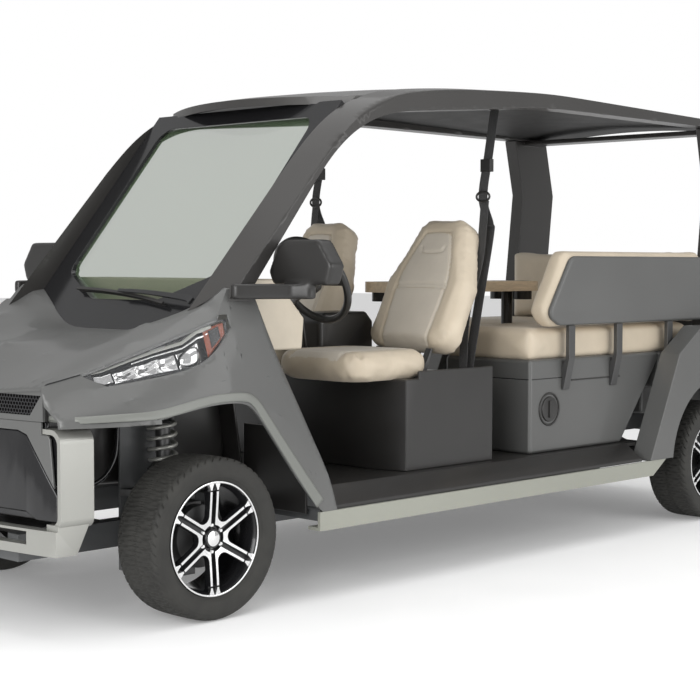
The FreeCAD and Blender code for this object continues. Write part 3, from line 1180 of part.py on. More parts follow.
def make_rear_fenders():
    """Rear side skins with their wheel arches, a foot on the sill and a top deck."""
    body = new_body("rear_fender_left")
    foot = d.sill_top + d.seat_gap
    front, top, rear = d.rear_fender_front, d.rear_fender_top, d.rear_panel_y - d.seat_gap
    crest, slope = d.locker_top_rear + d.crest_length, d.rail_width * 2
    outline = [(front, foot), (d.rear_arch_front, foot), (d.wheelbase, d.tyre_radius), (rear, d.rear_arch_z),
               (rear, top), (crest, top), (d.locker_top_rear - d.rail_width, top - slope)]
    prism(body, "YZ", outline, "Dims.rear_fender_inner", "Dims.flare_half")
    disc(body, "YZ", d.rear_arch_radius, "Dims.rear_fender_inner - Dims.cut_overrun",
         "Dims.flare_half + Dims.cut_overrun", (d.wheelbase, d.tyre_radius + d.panel_wall), cut=True)
    inside = [(front + 2 * d.panel_wall, foot - d.cut_overrun), (d.locker_top_rear, top - slope),
              (crest, top - d.panel_wall), (rear - d.panel_wall, top - d.panel_wall),
              (rear - d.panel_wall, foot - d.cut_overrun)]
    prism(body, "YZ", inside, "Dims.rear_fender_inner - Dims.cut_overrun",
          "Dims.flare_half - Dims.panel_wall", 0, cut=True)
    keep(body, "rear_fender_left")
    keep(mirrored(body, "rear_fender_right"), "rear_fender_right")


def make_rear_body():
    """Tail panel with the deck behind the bench that carries the rear pillars, and a tow eye."""
    body = new_body("rear_body")
    box(body, (-d.flare_half, d.flare_half), (d.rear_panel_y, d.rear_panel_rear), "Dims.rear_panel_low",
        "Dims.rear_panel_high")
    keep(body, "rear_body")
    bar = new_body("rear_bumper")
    half, soft = d.rear_bumper_half, d.rear_bumper_round
    box(bar, (-half, half), (d.rear_panel_rear + d.seat_gap, d.wheelbase + d.rear_overhang),
        "Dims.rear_bumper_low", "Dims.rear_bumper_high", [0, 0, soft, soft])
    keep(bar, "rear_bumper")


# Belts

def make_belts():
    """Belts of the front seats, from the roof panel down through a ring to the seat base."""
    belt = new_body("belt")
    x, half = d.belt_x, d.belt_width / 2
    wall = d.belt_wall
    low = d.cushion_low - d.bracket_wall - d.seat_gap
    high = d.rail_mid_low
    run = [(d.belt_anchor_y, high), (d.belt_ring_y, d.belt_ring_z), (d.belt_guide_y, d.belt_guide_z),
           (d.base_rear - half, low)]
    points = run + [(y + wall, z) for y, z in reversed(run)]
    prism(belt, "YZ", points, f"{x - half}", f"{x + half}")
    anchor = new_body("belt_anchor")
    under = rail_height(d.belt_anchor_y) - d.roof_drop - d.roof_wall - d.seat_gap
    box(anchor, (x - half, x + half), (d.belt_anchor_y - half, d.belt_anchor_y + half), f"{high}", f"{under}")
    keep(pair(combine("Fuse", "belt_and_anchor", belt, anchor), "seat_belts"), "seat_belts")


# Brake lever

def rod(name, start, end, radius):
    """A round bar between two points of the cart."""
    along = end - start
    bar = doc.addObject("Part::Cylinder", name)
    bar.Radius = radius
    bar.Height = along.Length
    bar.Placement = Placement(start + Vector(0, centring, 0), Rotation(Vector(0, 0, 1), along))
    return bar


def make_lever():
    """Parking brake lever that leans forward from the seat base, ahead of the console."""
    foot = Vector(d.lever_x, d.lever_foot_y, d.cushion_low - d.bracket_wall + 2 * d.seat_gap)
    bar = rod("lever_bar", foot, Vector(d.lever_x, d.lever_top_y, d.lever_top_z), d.lever_radius)
    keep(bar, "brake_lever")


def main():
    """Draw every sub-part, check it and write its file."""
    make_wheels()
    knuckle = make_knuckle()
    keep(knuckle, "knuckle_left")
    keep(mirrored(knuckle, "knuckle_right"), "knuckle_right")
    make_front_suspension()
    make_rear_axle()
    make_frame()
    make_floor()
    make_rockers()
    make_battery()
    make_hood()
    make_front_fenders()
    make_nose()
    make_fascia()
    make_front_bumper()
    make_tail_lamps()
    trim = front_block("front_block", 0)
    make_windscreen(trim, make_roof())
    make_cab_frames(trim)
    make_rear_pillars()
    dash = make_dash()
    make_steering(dash)
    make_mirrors()
    make_seats()
    make_seat_base()
    make_console()
    make_lounge()
    make_table()
    make_rear_fenders()
    make_rear_body()
    make_belts()
    make_lever()
    doc.recompute()
    failed = [thing.Name + " " + thing.getStatusString() for thing in doc.Objects
              if "Invalid" in thing.State or "Error" in " ".join(thing.State)]
    if failed:
        raise RuntimeError("these objects failed: " + ", ".join(failed))
    for thing in NODES:
        if thing.Shape.isNull() or not thing.Shape.isValid():
            raise RuntimeError(thing.Label + " has no valid shape")
    os.makedirs("parts", exist_ok=True)
    for thing in NODES:
        thing.Shape.exportStep(os.path.join("parts", thing.Label + ".step"))
        print(thing.Label, len(thing.Shape.Solids), round(thing.Shape.Volume / 1e6, 2))


main()
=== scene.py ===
"""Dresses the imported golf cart: finishes, detailed pieces, studio and camera.

Lengths are metres. Each sub-assembly is a class that holds its own sizes; its places along the cart are
counted from the front axle and are moved onto the frame by the module's `on_cart` function.
"""

import json
import logging
import math
from dataclasses import dataclass, field
from enum import Enum
from typing import Callable, Sequence

import bmesh
import bpy
import numpy as np
from mathutils import Matrix, Vector
from mathutils.bvhtree import BVHTree


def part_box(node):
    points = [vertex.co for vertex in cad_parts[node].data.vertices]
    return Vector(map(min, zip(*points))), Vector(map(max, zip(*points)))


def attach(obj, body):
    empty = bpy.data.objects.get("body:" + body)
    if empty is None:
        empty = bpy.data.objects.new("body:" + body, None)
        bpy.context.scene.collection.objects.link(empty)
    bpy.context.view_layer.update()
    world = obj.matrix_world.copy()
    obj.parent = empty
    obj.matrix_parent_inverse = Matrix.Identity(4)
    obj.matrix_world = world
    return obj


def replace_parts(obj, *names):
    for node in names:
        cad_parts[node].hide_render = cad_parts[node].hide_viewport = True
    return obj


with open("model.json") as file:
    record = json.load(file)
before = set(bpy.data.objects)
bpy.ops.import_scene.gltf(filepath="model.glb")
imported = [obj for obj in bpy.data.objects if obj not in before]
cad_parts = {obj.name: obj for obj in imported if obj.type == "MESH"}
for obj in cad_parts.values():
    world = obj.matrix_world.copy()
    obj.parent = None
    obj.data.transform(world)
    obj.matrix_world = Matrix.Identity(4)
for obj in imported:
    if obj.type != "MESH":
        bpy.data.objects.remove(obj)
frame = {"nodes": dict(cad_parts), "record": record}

LOG = logging.getLogger("golf_cart")
BODY_OF = {node: body for body, nodes in frame["record"]["behaviour"]["bodies"].items() for node in nodes}
SLOT_OF = {part["node"]: part["material_slot"] for part in frame["record"]["subparts"]}
SAME_PLACE = 1e-6
Array = np.ndarray
Socket = bpy.types.NodeSocket
Pair = tuple[float, float]
Triple = tuple[float, float, float]
Rule = Callable[[Array, Array], Array]


def front_axle() -> float:
    """Return the front axle's place along the cart: the middle of a front tyre's box."""
    low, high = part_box("tyre_front_left")
    return (low.y + high.y) / 2


AXLE_Y = front_axle()


def on_cart(points: Array) -> Array:
    """Move points counted from the front axle onto the frame: the place along the cart gains the axle's.

    Args:
        points: Any array whose last axis holds X, Y and Z in metres.

    Returns:
        The same points in the frame's own axes.
    """
    moved = np.array(points, float)
    moved[..., 1] += AXLE_Y
    return moved


def placed(name: str, data: bpy.types.ID) -> bpy.types.Object:
    """Return a new object in the scene that shows a mesh, a lamp or a camera."""
    thing = bpy.data.objects.new(name, data)
    bpy.context.scene.collection.objects.link(thing)
    return thing


def modified(piece: bpy.types.Object, kind: str, **settings: object) -> bpy.types.Modifier:
    """Return a new modifier of a piece, with its values set."""
    modifier = piece.modifiers.new(kind.lower(), kind)
    for name, value in settings.items():
        setattr(modifier, name, value)
    return modifier


def vectors(items: Sequence[object], attribute: str = "co") -> Array:
    """Return one of the vectors of every point or face of a mesh, as rows."""
    values = np.empty(len(items) * 3)
    items.foreach_get(attribute, values)
    return values.reshape(-1, 3)


def move_points(mesh: bpy.types.Mesh, points: Array) -> None:
    """Set the places of a mesh's points."""
    mesh.vertices.foreach_set("co", points.ravel())
    mesh.update()


def skin_of(mesh: bpy.types.Mesh) -> BVHTree:
    """Return a mesh's faces as a tree that rays can meet."""
    return BVHTree.FromPolygons([vertex.co[:] for vertex in mesh.vertices],
                                [tuple(face.vertices) for face in mesh.polygons])


def close(mesh: bpy.types.Mesh, flat: float = 0.0) -> None:
    """Merge a mesh's doubled points, join faces that bend less than flat and turn all faces outwards."""
    work = bmesh.new()
    work.from_mesh(mesh)
    bmesh.ops.remove_doubles(work, verts=work.verts, dist=SAME_PLACE)
    if flat:
        bmesh.ops.dissolve_limit(work, angle_limit=flat, verts=work.verts, edges=work.edges,
                                 delimit={"MATERIAL"})
    bmesh.ops.recalc_face_normals(work, faces=work.faces)
    work.to_mesh(mesh)
    work.free()


# Finishes


class Tree:
    """A thin builder for a node tree."""

    def __init__(self, owner: bpy.types.ID) -> None:
        """Start with no nodes in the tree of a material or a world."""
        owner.use_nodes = True
        self.tree = owner.node_tree
        self.tree.nodes.clear()

    def add(self, kind: str, inputs: dict[str, object] | None = None, **settings: object) -> bpy.types.Node:
        """Add a node.

        Args:
            kind: The node's type name without its common prefix.
            inputs: Socket names with a value, or with another node's socket to link.
            settings: Attributes of the node itself.

        Returns:
            The new node.
        """
        node = self.tree.nodes.new("ShaderNode" + kind)
        for name, value in settings.items():
            setattr(node, name, value)
        for name, value in (inputs or {}).items():
            socket = node.inputs[int(name)] if name.isdigit() else node.inputs[name]
            if isinstance(value, Socket):
                self.tree.links.new(value, socket)
            else:
                socket.default_value = value
        return node

    def spread(self, factor: Socket, low: float, high: float) -> Socket:
        """Map a factor from 0 to 1 onto a range of values."""
        return self.add("MapRange", {"Value": factor, "To Min": low, "To Max": high}).outputs[0]

    def either(self, first: str, second: str) -> Socket:
        """Return 1 for rays of two kinds and 0 for all others."""
        rays = self.add("LightPath").outputs
        return self.add("Math", {"0": rays[first], "1": rays[second]}, operation="MAXIMUM").outputs[0]


class Nodes(Tree):
    """A thin builder for one material with a Principled shader."""

    def __init__(self, name: str) -> None:
        """Start with the shader and the Object coordinates."""
        self.material = bpy.data.materials.new(name)
        super().__init__(self.material)
        self.shader = self.add("BsdfPrincipled")
        self.add("OutputMaterial", {"Surface": self.shader.outputs[0]})
        self.coordinates = self.add("TexCoord").outputs["Object"]

    def set(self, **values: float | Sequence[float]) -> None:
        """Set the shader's own sockets; an underscore in a name stands for a space."""
        for name, value in values.items():
            self.shader.inputs[name.replace("_", " ")].default_value = value

    def link(self, source: Socket, target: str) -> None:
        """Link a socket to one of the shader's inputs."""
        self.tree.links.new(source, self.shader.inputs[target])

    def noise(self, scale: float, detail: float = 4.0, roughness: float = 0.55,
              stretch: Triple | None = None) -> Socket:
        """Add a noise pattern on the Object coordinates.

        Args:
            scale: Features per metre.
            detail: Octaves.
            roughness: How strong the fine octaves are.
            stretch: Factors along X, Y and Z, for a pattern that runs one way.

        Returns:
            The pattern's factor, from 0 to 1.
        """
        place = self.coordinates
        if stretch is not None:
            place = self.add("Mapping", {"Vector": place, "Scale": stretch}).outputs[0]
        return self.add("TexNoise", {"Vector": place, "Scale": scale, "Detail": detail,
                                     "Roughness": roughness}).outputs["Fac"]

    def ramp(self, factor: Socket, low: Sequence[float], high: Sequence[float],
             start: float = 0.3, end: float = 0.7) -> Socket:
        """Map a factor from one colour to another between two positions."""
        node = self.add("ValToRGB", {"Fac": factor})
        first, last = node.color_ramp.elements
        first.position, last.position = start, end
        first.color, last.color = (*low[:3], 1.0), (*high[:3], 1.0)
        return node.outputs["Color"]

    def cells(self, scale: float, feature: str) -> Socket:
        """Add a cell pattern on the Object coordinates and return the distance from each cell's middle."""
        return self.add("TexVoronoi", {"Vector": self.coordinates, "Scale": scale},
                        feature=feature).outputs["Distance"]

    def bump(self, height: Socket, distance: float, strength: float = 1.0,
             below: Socket | None = None) -> Socket:
        """Turn a height into a normal and give it to the shader."""
        inputs = {"Height": height, "Distance": distance, "Strength": strength}
        normal = self.add("Bump", inputs | ({"Normal": below} if below is not None else {})).outputs[0]
        self.link(normal, "Normal")
        return normal


def shade(colour: Sequence[float], factor: float) -> Triple:
    """Return a colour made darker or lighter by a factor."""
    return tuple(min(1.0, c * factor) for c in colour[:3])


@dataclass(frozen=True)
class Finish:
    """A named surface with its main colour; each kind builds its own material."""

    name: str
    colour: Triple
    roughness: float = 0.5

    def tones(self, nodes: Nodes, pattern: Socket, dark: float, light: float, start: float = 0.3,
              end: float = 0.7) -> None:
        """Run the colour from a darker to a lighter tone along a pattern."""
        nodes.link(nodes.ramp(pattern, shade(self.colour, dark), shade(self.colour, light), start, end),
                   "Base Color")

    def dulls(self, nodes: Nodes, pattern: Socket, low: float, high: float) -> None:
        """Vary the roughness between two factors of its own along a pattern."""
        nodes.link(nodes.spread(pattern, self.roughness * low, min(1.0, self.roughness * high)), "Roughness")

    def lay(self, nodes: Nodes) -> None:
        """Lay the patterns; each kind has its own."""
        raise NotImplementedError(self.name)

    def build(self) -> bpy.types.Material:
        """Return the material with the patterns of its kind."""
        nodes = Nodes(self.name)
        self.lay(nodes)
        return nodes.material


@dataclass(frozen=True)
class Paint(Finish):
    """Clear-coated metallic paint: fine flakes shift the colour and a soft coat gives the gloss."""

    metallic: float = 0.2
    coat: float = 0.2
    flake_scale: float = 2600.0
    cloud_scale: float = 1.7

    def lay(self, nodes: Nodes) -> None:
        """Lay the patterns: flake noise and a slow cloud set the colour, noise the roughness."""
        flakes, cloud = nodes.noise(self.flake_scale, 1.0), nodes.noise(self.cloud_scale, 2.0)
        mixed = nodes.add("Math", {"0": flakes, "1": cloud, "2": 0.25}, operation="MULTIPLY_ADD")
        self.tones(nodes, mixed.outputs[0], 0.86, 1.12)
        self.dulls(nodes, cloud, 0.92, 1.08)
        nodes.set(Metallic=self.metallic, Coat_Weight=self.coat, Coat_Roughness=0.12)


@dataclass(frozen=True)
class Plastic(Finish):
    """Moulded plastic with a fine leather-like grain, or smooth and glossy."""

    grain: float = 0.00025
    grain_scale: float = 420.0

    def lay(self, nodes: Nodes) -> None:
        """Lay the patterns: cell noise gives the grain and slow noise the wear in the gloss."""
        cloud = nodes.noise(9.0, 5.0)
        self.tones(nodes, cloud, 0.95, 1.05)
        self.dulls(nodes, cloud, 0.85, 1.15)
        nodes.bump(nodes.cells(self.grain_scale, "SMOOTH_F1"), self.grain, 0.6)


@dataclass(frozen=True)
class Vinyl(Finish):
    """Soft upholstery vinyl: pebbled grain, fine creases and a dull sheen."""

    roughness: float = 0.46
    grain_scale: float = 520.0

    def lay(self, nodes: Nodes) -> None:
        """Lay the patterns: cell noise gives the pebbles, slower noise the creases."""
        self.tones(nodes, nodes.noise(6.0, 6.0), 0.92, 1.05)
        cells = nodes.cells(self.grain_scale, "F1")
        pebbles = nodes.bump(cells, 0.0004, 0.5)
        nodes.bump(nodes.noise(55.0, 3.0), 0.0012, 0.35, below=pebbles)
        self.dulls(nodes, cells, 0.8, 1.15)
        nodes.set(Sheen_Weight=0.12, Sheen_Roughness=0.5)


@dataclass(frozen=True)
class Metal(Finish):
    """Bare or plated metal with a fine texture."""

    roughness: float = 0.25
    metallic: float = 1.0
    scale: float = 300.0

    def lay(self, nodes: Nodes) -> None:
        """Lay the patterns: fine noise varies the colour, the roughness and the surface."""
        grain = nodes.noise(self.scale, 3.0, 0.6)
        self.tones(nodes, grain, 0.9, 1.06)
        self.dulls(nodes, grain, 0.75, 1.3)
        nodes.bump(grain, 0.00008, 0.5)
        nodes.set(Metallic=self.metallic)


@dataclass(frozen=True)
class Rubber(Finish):
    """Tyre rubber: nearly black, dull, with a dusty bloom and fine mould grain."""

    def lay(self, nodes: Nodes) -> None:
        """Lay the patterns: slow noise gives the bloom, fine noise the grain."""
        bloom = nodes.noise(14.0, 6.0)
        self.tones(nodes, bloom, 0.8, 1.5)
        nodes.link(nodes.spread(bloom, 0.62, 0.85), "Roughness")
        nodes.bump(nodes.noise(900.0, 2.0), 0.0003, 0.5)


@dataclass(frozen=True)
class Glass(Finish):
    """A clear pane or cover that lets light straight through."""

    roughness: float = 0.03
    alpha: float = 0.2

    def lay(self, nodes: Nodes) -> None:
        """Lay the patterns: a thin see-through tint, with faint waves in the surface."""
        waves = nodes.noise(2.5, 2.0)
        self.tones(nodes, waves, 0.97, 1.0)
        nodes.bump(waves, 0.0006, 0.2)
        nodes.set(Alpha=self.alpha, Roughness=self.roughness, Specular_IOR_Level=0.6)


@dataclass(frozen=True)
class Wood(Finish):
    """Light laminate wood: grain bands run along the cart under a satin lacquer."""

    def lay(self, nodes: Nodes) -> None:
        """Lay the patterns: the mean of slow and fine noise, both stretched along the cart."""
        bands = nodes.noise(9.0, 6.0, 0.65, (7.0, 0.5, 7.0))
        fibres = nodes.noise(60.0, 4.0, 0.7, (8.0, 0.4, 8.0))
        total = nodes.add("Math", {"0": bands, "1": fibres}, operation="ADD").outputs[0]
        mean = nodes.add("Math", {"0": total, "1": 0.5}, operation="MULTIPLY").outputs[0]
        self.tones(nodes, mean, 0.72, 1.15, 0.35, 0.62)
        nodes.link(nodes.spread(fibres, 0.32, 0.45), "Roughness")
        nodes.bump(fibres, 0.0002, 0.4)
        nodes.set(Coat_Weight=0.3, Coat_Roughness=0.2)


@dataclass(frozen=True)
class Webbing(Finish):
    """Woven strap: narrow ribs along the strap crossed by fine yarns."""

    def lay(self, nodes: Nodes) -> None:
        """Lay the patterns: the product of two wave patterns makes the weave."""
        ribs, yarns = (nodes.add("TexWave", {"Vector": nodes.coordinates, "Scale": scale},
                                 bands_direction=way).outputs["Fac"]
                       for scale, way in ((300.0, "X"), (420.0, "Z")))
        weave = nodes.add("Math", {"0": ribs, "1": yarns}, operation="MULTIPLY").outputs[0]
        self.tones(nodes, weave, 0.7, 1.5)
        nodes.bump(weave, 0.0004, 0.7)
        nodes.set(Roughness=0.8, Sheen_Weight=0.3)


FINISHES = (
    Paint("body_paint", (0.112, 0.113, 0.110), roughness=0.46, coat=0.25),
    Paint("roof_paint", (0.040, 0.038, 0.036), roughness=0.42, coat=0.3),
    Paint("flare_paint", (0.190, 0.196, 0.180)),
    Paint("rocker_paint", (0.330, 0.335, 0.290), metallic=0.25, coat=0.1),
    Paint("bumper_silver", (0.36, 0.36, 0.335), metallic=0.55, roughness=0.38),
    Paint("frame_paint", (0.085, 0.088, 0.090), metallic=0.1, coat=0.1),
    Plastic("black_plastic", (0.022, 0.021, 0.020), roughness=0.34),
    Plastic("gloss_black", (0.014, 0.014, 0.015), roughness=0.16, grain=0.00002),
    Plastic("wheel_black", (0.012, 0.012, 0.013), roughness=0.14, grain=0.00002),
    Plastic("cream_panel", (0.62, 0.55, 0.44), roughness=0.42, grain=0.0001),
    Plastic("red_lens", (0.42, 0.015, 0.012), roughness=0.12, grain=0.0001),
    Plastic("amber_lens", (0.22, 0.035, 0.004), roughness=0.10, grain=0.0001),
    Plastic("lining", (0.012, 0.012, 0.012), roughness=0.6),
    Vinyl("cream_vinyl", (0.60, 0.515, 0.395)),
    Vinyl("panel_vinyl", (0.66, 0.60, 0.51), roughness=0.40),
    Glass("glass", (0.085, 0.130, 0.070), alpha=0.36),
    Glass("clear_lens", (0.30, 0.31, 0.32), alpha=0.07),
    Metal("wheel_silver", (0.78, 0.78, 0.78), roughness=0.22),
    Metal("chrome", (0.85, 0.85, 0.85), roughness=0.08),
    Metal("steel_dark", (0.10, 0.10, 0.10), roughness=0.42, metallic=0.7),
    Metal("cast_grey", (0.09, 0.09, 0.09), roughness=0.6, metallic=0.6),
    Metal("mirror", (0.85, 0.86, 0.88), roughness=0.03),
    Rubber("tyre", (0.024, 0.0235, 0.021)),
    Wood("wood", (0.66, 0.52, 0.36)),
    Webbing("belt_webbing", (0.035, 0.035, 0.036)),
)


class Dresser:
    """Builds each finish once and gives it to nodes and pieces by its slot's name."""

    def __init__(self) -> None:
        """Build every finish."""
        self.materials = {finish.name: finish.build() for finish in FINISHES}

    def wear(self, thing: bpy.types.Object, slot: str) -> None:
        """Give an object one finish and no other."""
        thing.data.materials.clear()
        thing.data.materials.append(self.materials[slot])

    def dress_nodes(self) -> None:
        """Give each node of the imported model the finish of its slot."""
        for name, node in frame["nodes"].items():
            self.wear(node, SLOT_OF[name])
            LOG.info("node %s wears %s", name, SLOT_OF[name])

    def dress(self, piece: bpy.types.Object, slot: str) -> None:
        """Give a new piece the finish of a slot."""
        self.wear(piece, slot)


# Shapes


def grid_faces(rows: int, columns: int, wrap_rows: bool = False, wrap_columns: bool = False) -> Array:
    """Return the four corners of every cell of a grid of points counted row by row.

    Args:
        rows: Number of rows.
        columns: Number of columns.
        wrap_rows: Whether the last row joins the first.
        wrap_columns: Whether the last column joins the first.

    Returns:
        An array of corner indices, four for each cell.
    """
    row, column = np.meshgrid(np.arange(rows if wrap_rows else rows - 1),
                              np.arange(columns if wrap_columns else columns - 1), indexing="ij")
    down, right = (row + 1) % rows, (column + 1) % columns
    cells = [row * columns + column, down * columns + column, down * columns + right, row * columns + right]
    return np.stack(cells, -1).reshape(-1, 4)


@dataclass
class Shape:
    """Points, four-cornered faces and many-cornered caps of a surface."""

    points: Array
    quads: Array
    caps: list[list[int]] = field(default_factory=list)

    def moved(self, offset: Sequence[float]) -> "Shape":
        """Return the shape shifted by an offset."""
        return Shape(self.points + np.array(offset, float), self.quads, self.caps)

    def scaled(self, factors: Sequence[float]) -> "Shape":
        """Return the shape stretched along X, Y and Z."""
        return Shape(self.points * np.array(factors, float), self.quads, self.caps)

    def turned(self, angle: float, axis: str = "X") -> "Shape":
        """Return the shape turned about an axis through the origin."""
        turn = np.array(Matrix.Rotation(angle, 3, axis))
        return Shape(self.points @ turn.T, self.quads, self.caps)


def joined(shapes: Sequence[Shape]) -> Shape:
    """Put several shapes into one; each keeps its own points."""
    starts = np.cumsum([0] + [len(s.points) for s in shapes])
    quads = [s.quads + start for s, start in zip(shapes, starts) if len(s.quads)]
    caps = [[i + int(start) for i in cap] for s, start in zip(shapes, starts) for cap in s.caps]
    return Shape(np.concatenate([s.points for s in shapes]),
                 np.concatenate(quads) if quads else np.zeros((0, 4), int), caps)


def sheet_of(points: Array, wrap_rows: bool = False, wrap_columns: bool = False) -> Shape:
    """Return the surface through a grid of points of shape (rows, columns, 3)."""
    rows, columns = points.shape[:2]
    return Shape(points.reshape(-1, 3), grid_faces(rows, columns, wrap_rows, wrap_columns))


def lathe(profile: Sequence[Pair], steps: int = 96, closed: bool = False) -> Shape:
    """Turn a profile of (x, radius) points about the X axis.

    The point at angle a is (x, radius times cos a, radius times sin a).

    Args:
        profile: The outline's points.
        steps: How many angles.
        closed: Whether the profile's last point joins its first.

    Returns:
        The turned surface.
    """
    line = np.array(profile, float)
    angle = np.arange(steps) * (math.tau / steps)
    points = np.empty((steps, len(line), 3))
    points[..., 0] = line[:, 0]
    points[..., 1] = line[:, 1] * np.cos(angle)[:, None]
    points[..., 2] = line[:, 1] * np.sin(angle)[:, None]
    return sheet_of(points, wrap_rows=True, wrap_columns=closed)


def swept(path: Array, section: Array, up: Sequence[float] = (0, 0, 1), closed: bool = False,
          scale: Array | None = None) -> Shape:
    """Carry a closed outline along a path.

    At each point the section's first axis is the path's direction crossed with up, and its second
    is square to both.

    Args:
        path: The path's points, shape (n, 3).
        section: The outline's points, shape (m, 2).
        up: The direction that the second axis keeps near.
        closed: Whether the path is a loop.
        scale: A factor on the section at each point of the path.

    Returns:
        The swept surface with its ends capped.
    """
    path, section = np.array(path, float), np.array(section, float)
    if closed:
        along = np.roll(path, -1, 0) - np.roll(path, 1, 0)
    else:
        along = np.gradient(path, axis=0)
    along /= np.linalg.norm(along, axis=1, keepdims=True)
    across = np.cross(along, np.array(up, float))
    across /= np.linalg.norm(across, axis=1, keepdims=True)
    over = np.cross(across, along)
    size = np.ones(len(path)) if scale is None else np.array(scale, float)
    points = (path[:, None] + (section[:, 0] * size[:, None])[..., None] * across[:, None]
              + (section[:, 1] * size[:, None])[..., None] * over[:, None])
    shape = sheet_of(points, wrap_rows=closed, wrap_columns=True)
    if not closed:
        count, total = len(section), len(points) * len(section)
        shape.caps = [list(range(count))[::-1], list(range(total - count, total))]
    return shape


def round_section(radius: float, sides: int = 12) -> Array:
    """Return the points of a circle."""
    angle = np.arange(sides) * (math.tau / sides)
    return np.stack([np.cos(angle), np.sin(angle)], -1) * radius


def flat_section(width: float, thickness: float) -> Array:
    """Return the points of a rectangle about its middle."""
    x, y = width / 2, thickness / 2
    return np.array([(-x, -y), (x, -y), (x, y), (-x, y)])


def slab(outline: Sequence[Pair], low: float, high: float, plane: str = "XZ") -> Shape:
    """Extrude an outline along the axis that its plane faces, from one place to another.

    Args:
        outline: The corners, in the order of the plane's two letters.
        low: Where it starts.
        high: Where it ends.
        plane: XY, XZ or YZ.

    Returns:
        The closed solid.
    """
    flat = np.array(outline, float)
    first, second = "XYZ".index(plane[0]), "XYZ".index(plane[1])
    third = 3 - first - second
    points = np.empty((2, len(flat), 3))
    points[..., first], points[..., second] = flat[:, 0], flat[:, 1]
    points[0, :, third], points[1, :, third] = low, high
    shape = sheet_of(points, wrap_columns=True)
    count = len(flat)
    shape.caps = [list(range(count))[::-1], list(range(count, 2 * count))]
    return shape


def block(low: Sequence[float], high: Sequence[float]) -> Shape:
    """Return a box between two corners."""
    (x0, y0, z0), (x1, y1, z1) = low, high
    return slab([(x0, z0), (x1, z0), (x1, z1), (x0, z1)], y0, y1)


def smooth_line(points: Sequence[Sequence[float]], count: int = 60) -> Array:
    """Return points along a smooth curve through the given ones.

    Each run is a cubic whose slopes at its ends are half the step between the neighbours there.
    """
    knots = np.array(points, float)
    slopes = np.gradient(knots, axis=0)
    place = np.linspace(0, len(knots) - 1, count)
    index = np.minimum(place.astype(int), len(knots) - 2)
    t = (place - index)[:, None]
    start, end = knots[index], knots[index + 1]
    first, last = slopes[index], slopes[index + 1]
    return ((2 * t ** 3 - 3 * t ** 2 + 1) * start + (t ** 3 - 2 * t ** 2 + t) * first
            + (3 * t ** 2 - 2 * t ** 3) * end + (t ** 3 - t ** 2) * last)


def both_sides(shape: Shape) -> Shape:
    """Return a shape together with its mirror image on the cart's other side."""
    return joined([shape, shape.scaled((-1, 1, 1))])


def loop_of(corners: Sequence[Sequence[float]], steps: int) -> Array:
    """Return a closed line through corners, with some steps in each straight run."""
    ends = np.array(corners)
    return np.concatenate([np.linspace(a, b, steps, endpoint=False) for a, b in zip(ends, np.roll(ends, -1, 0))])


def mesh_of(name: str, shape: Shape) -> bpy.types.Mesh:
    """Return the closed mesh of a shape that is counted from the front axle."""
    mesh = bpy.data.meshes.new(name)
    mesh.from_pydata(on_cart(shape.points).tolist(), [], shape.quads.tolist() + shape.caps)
    close(mesh)
    return mesh


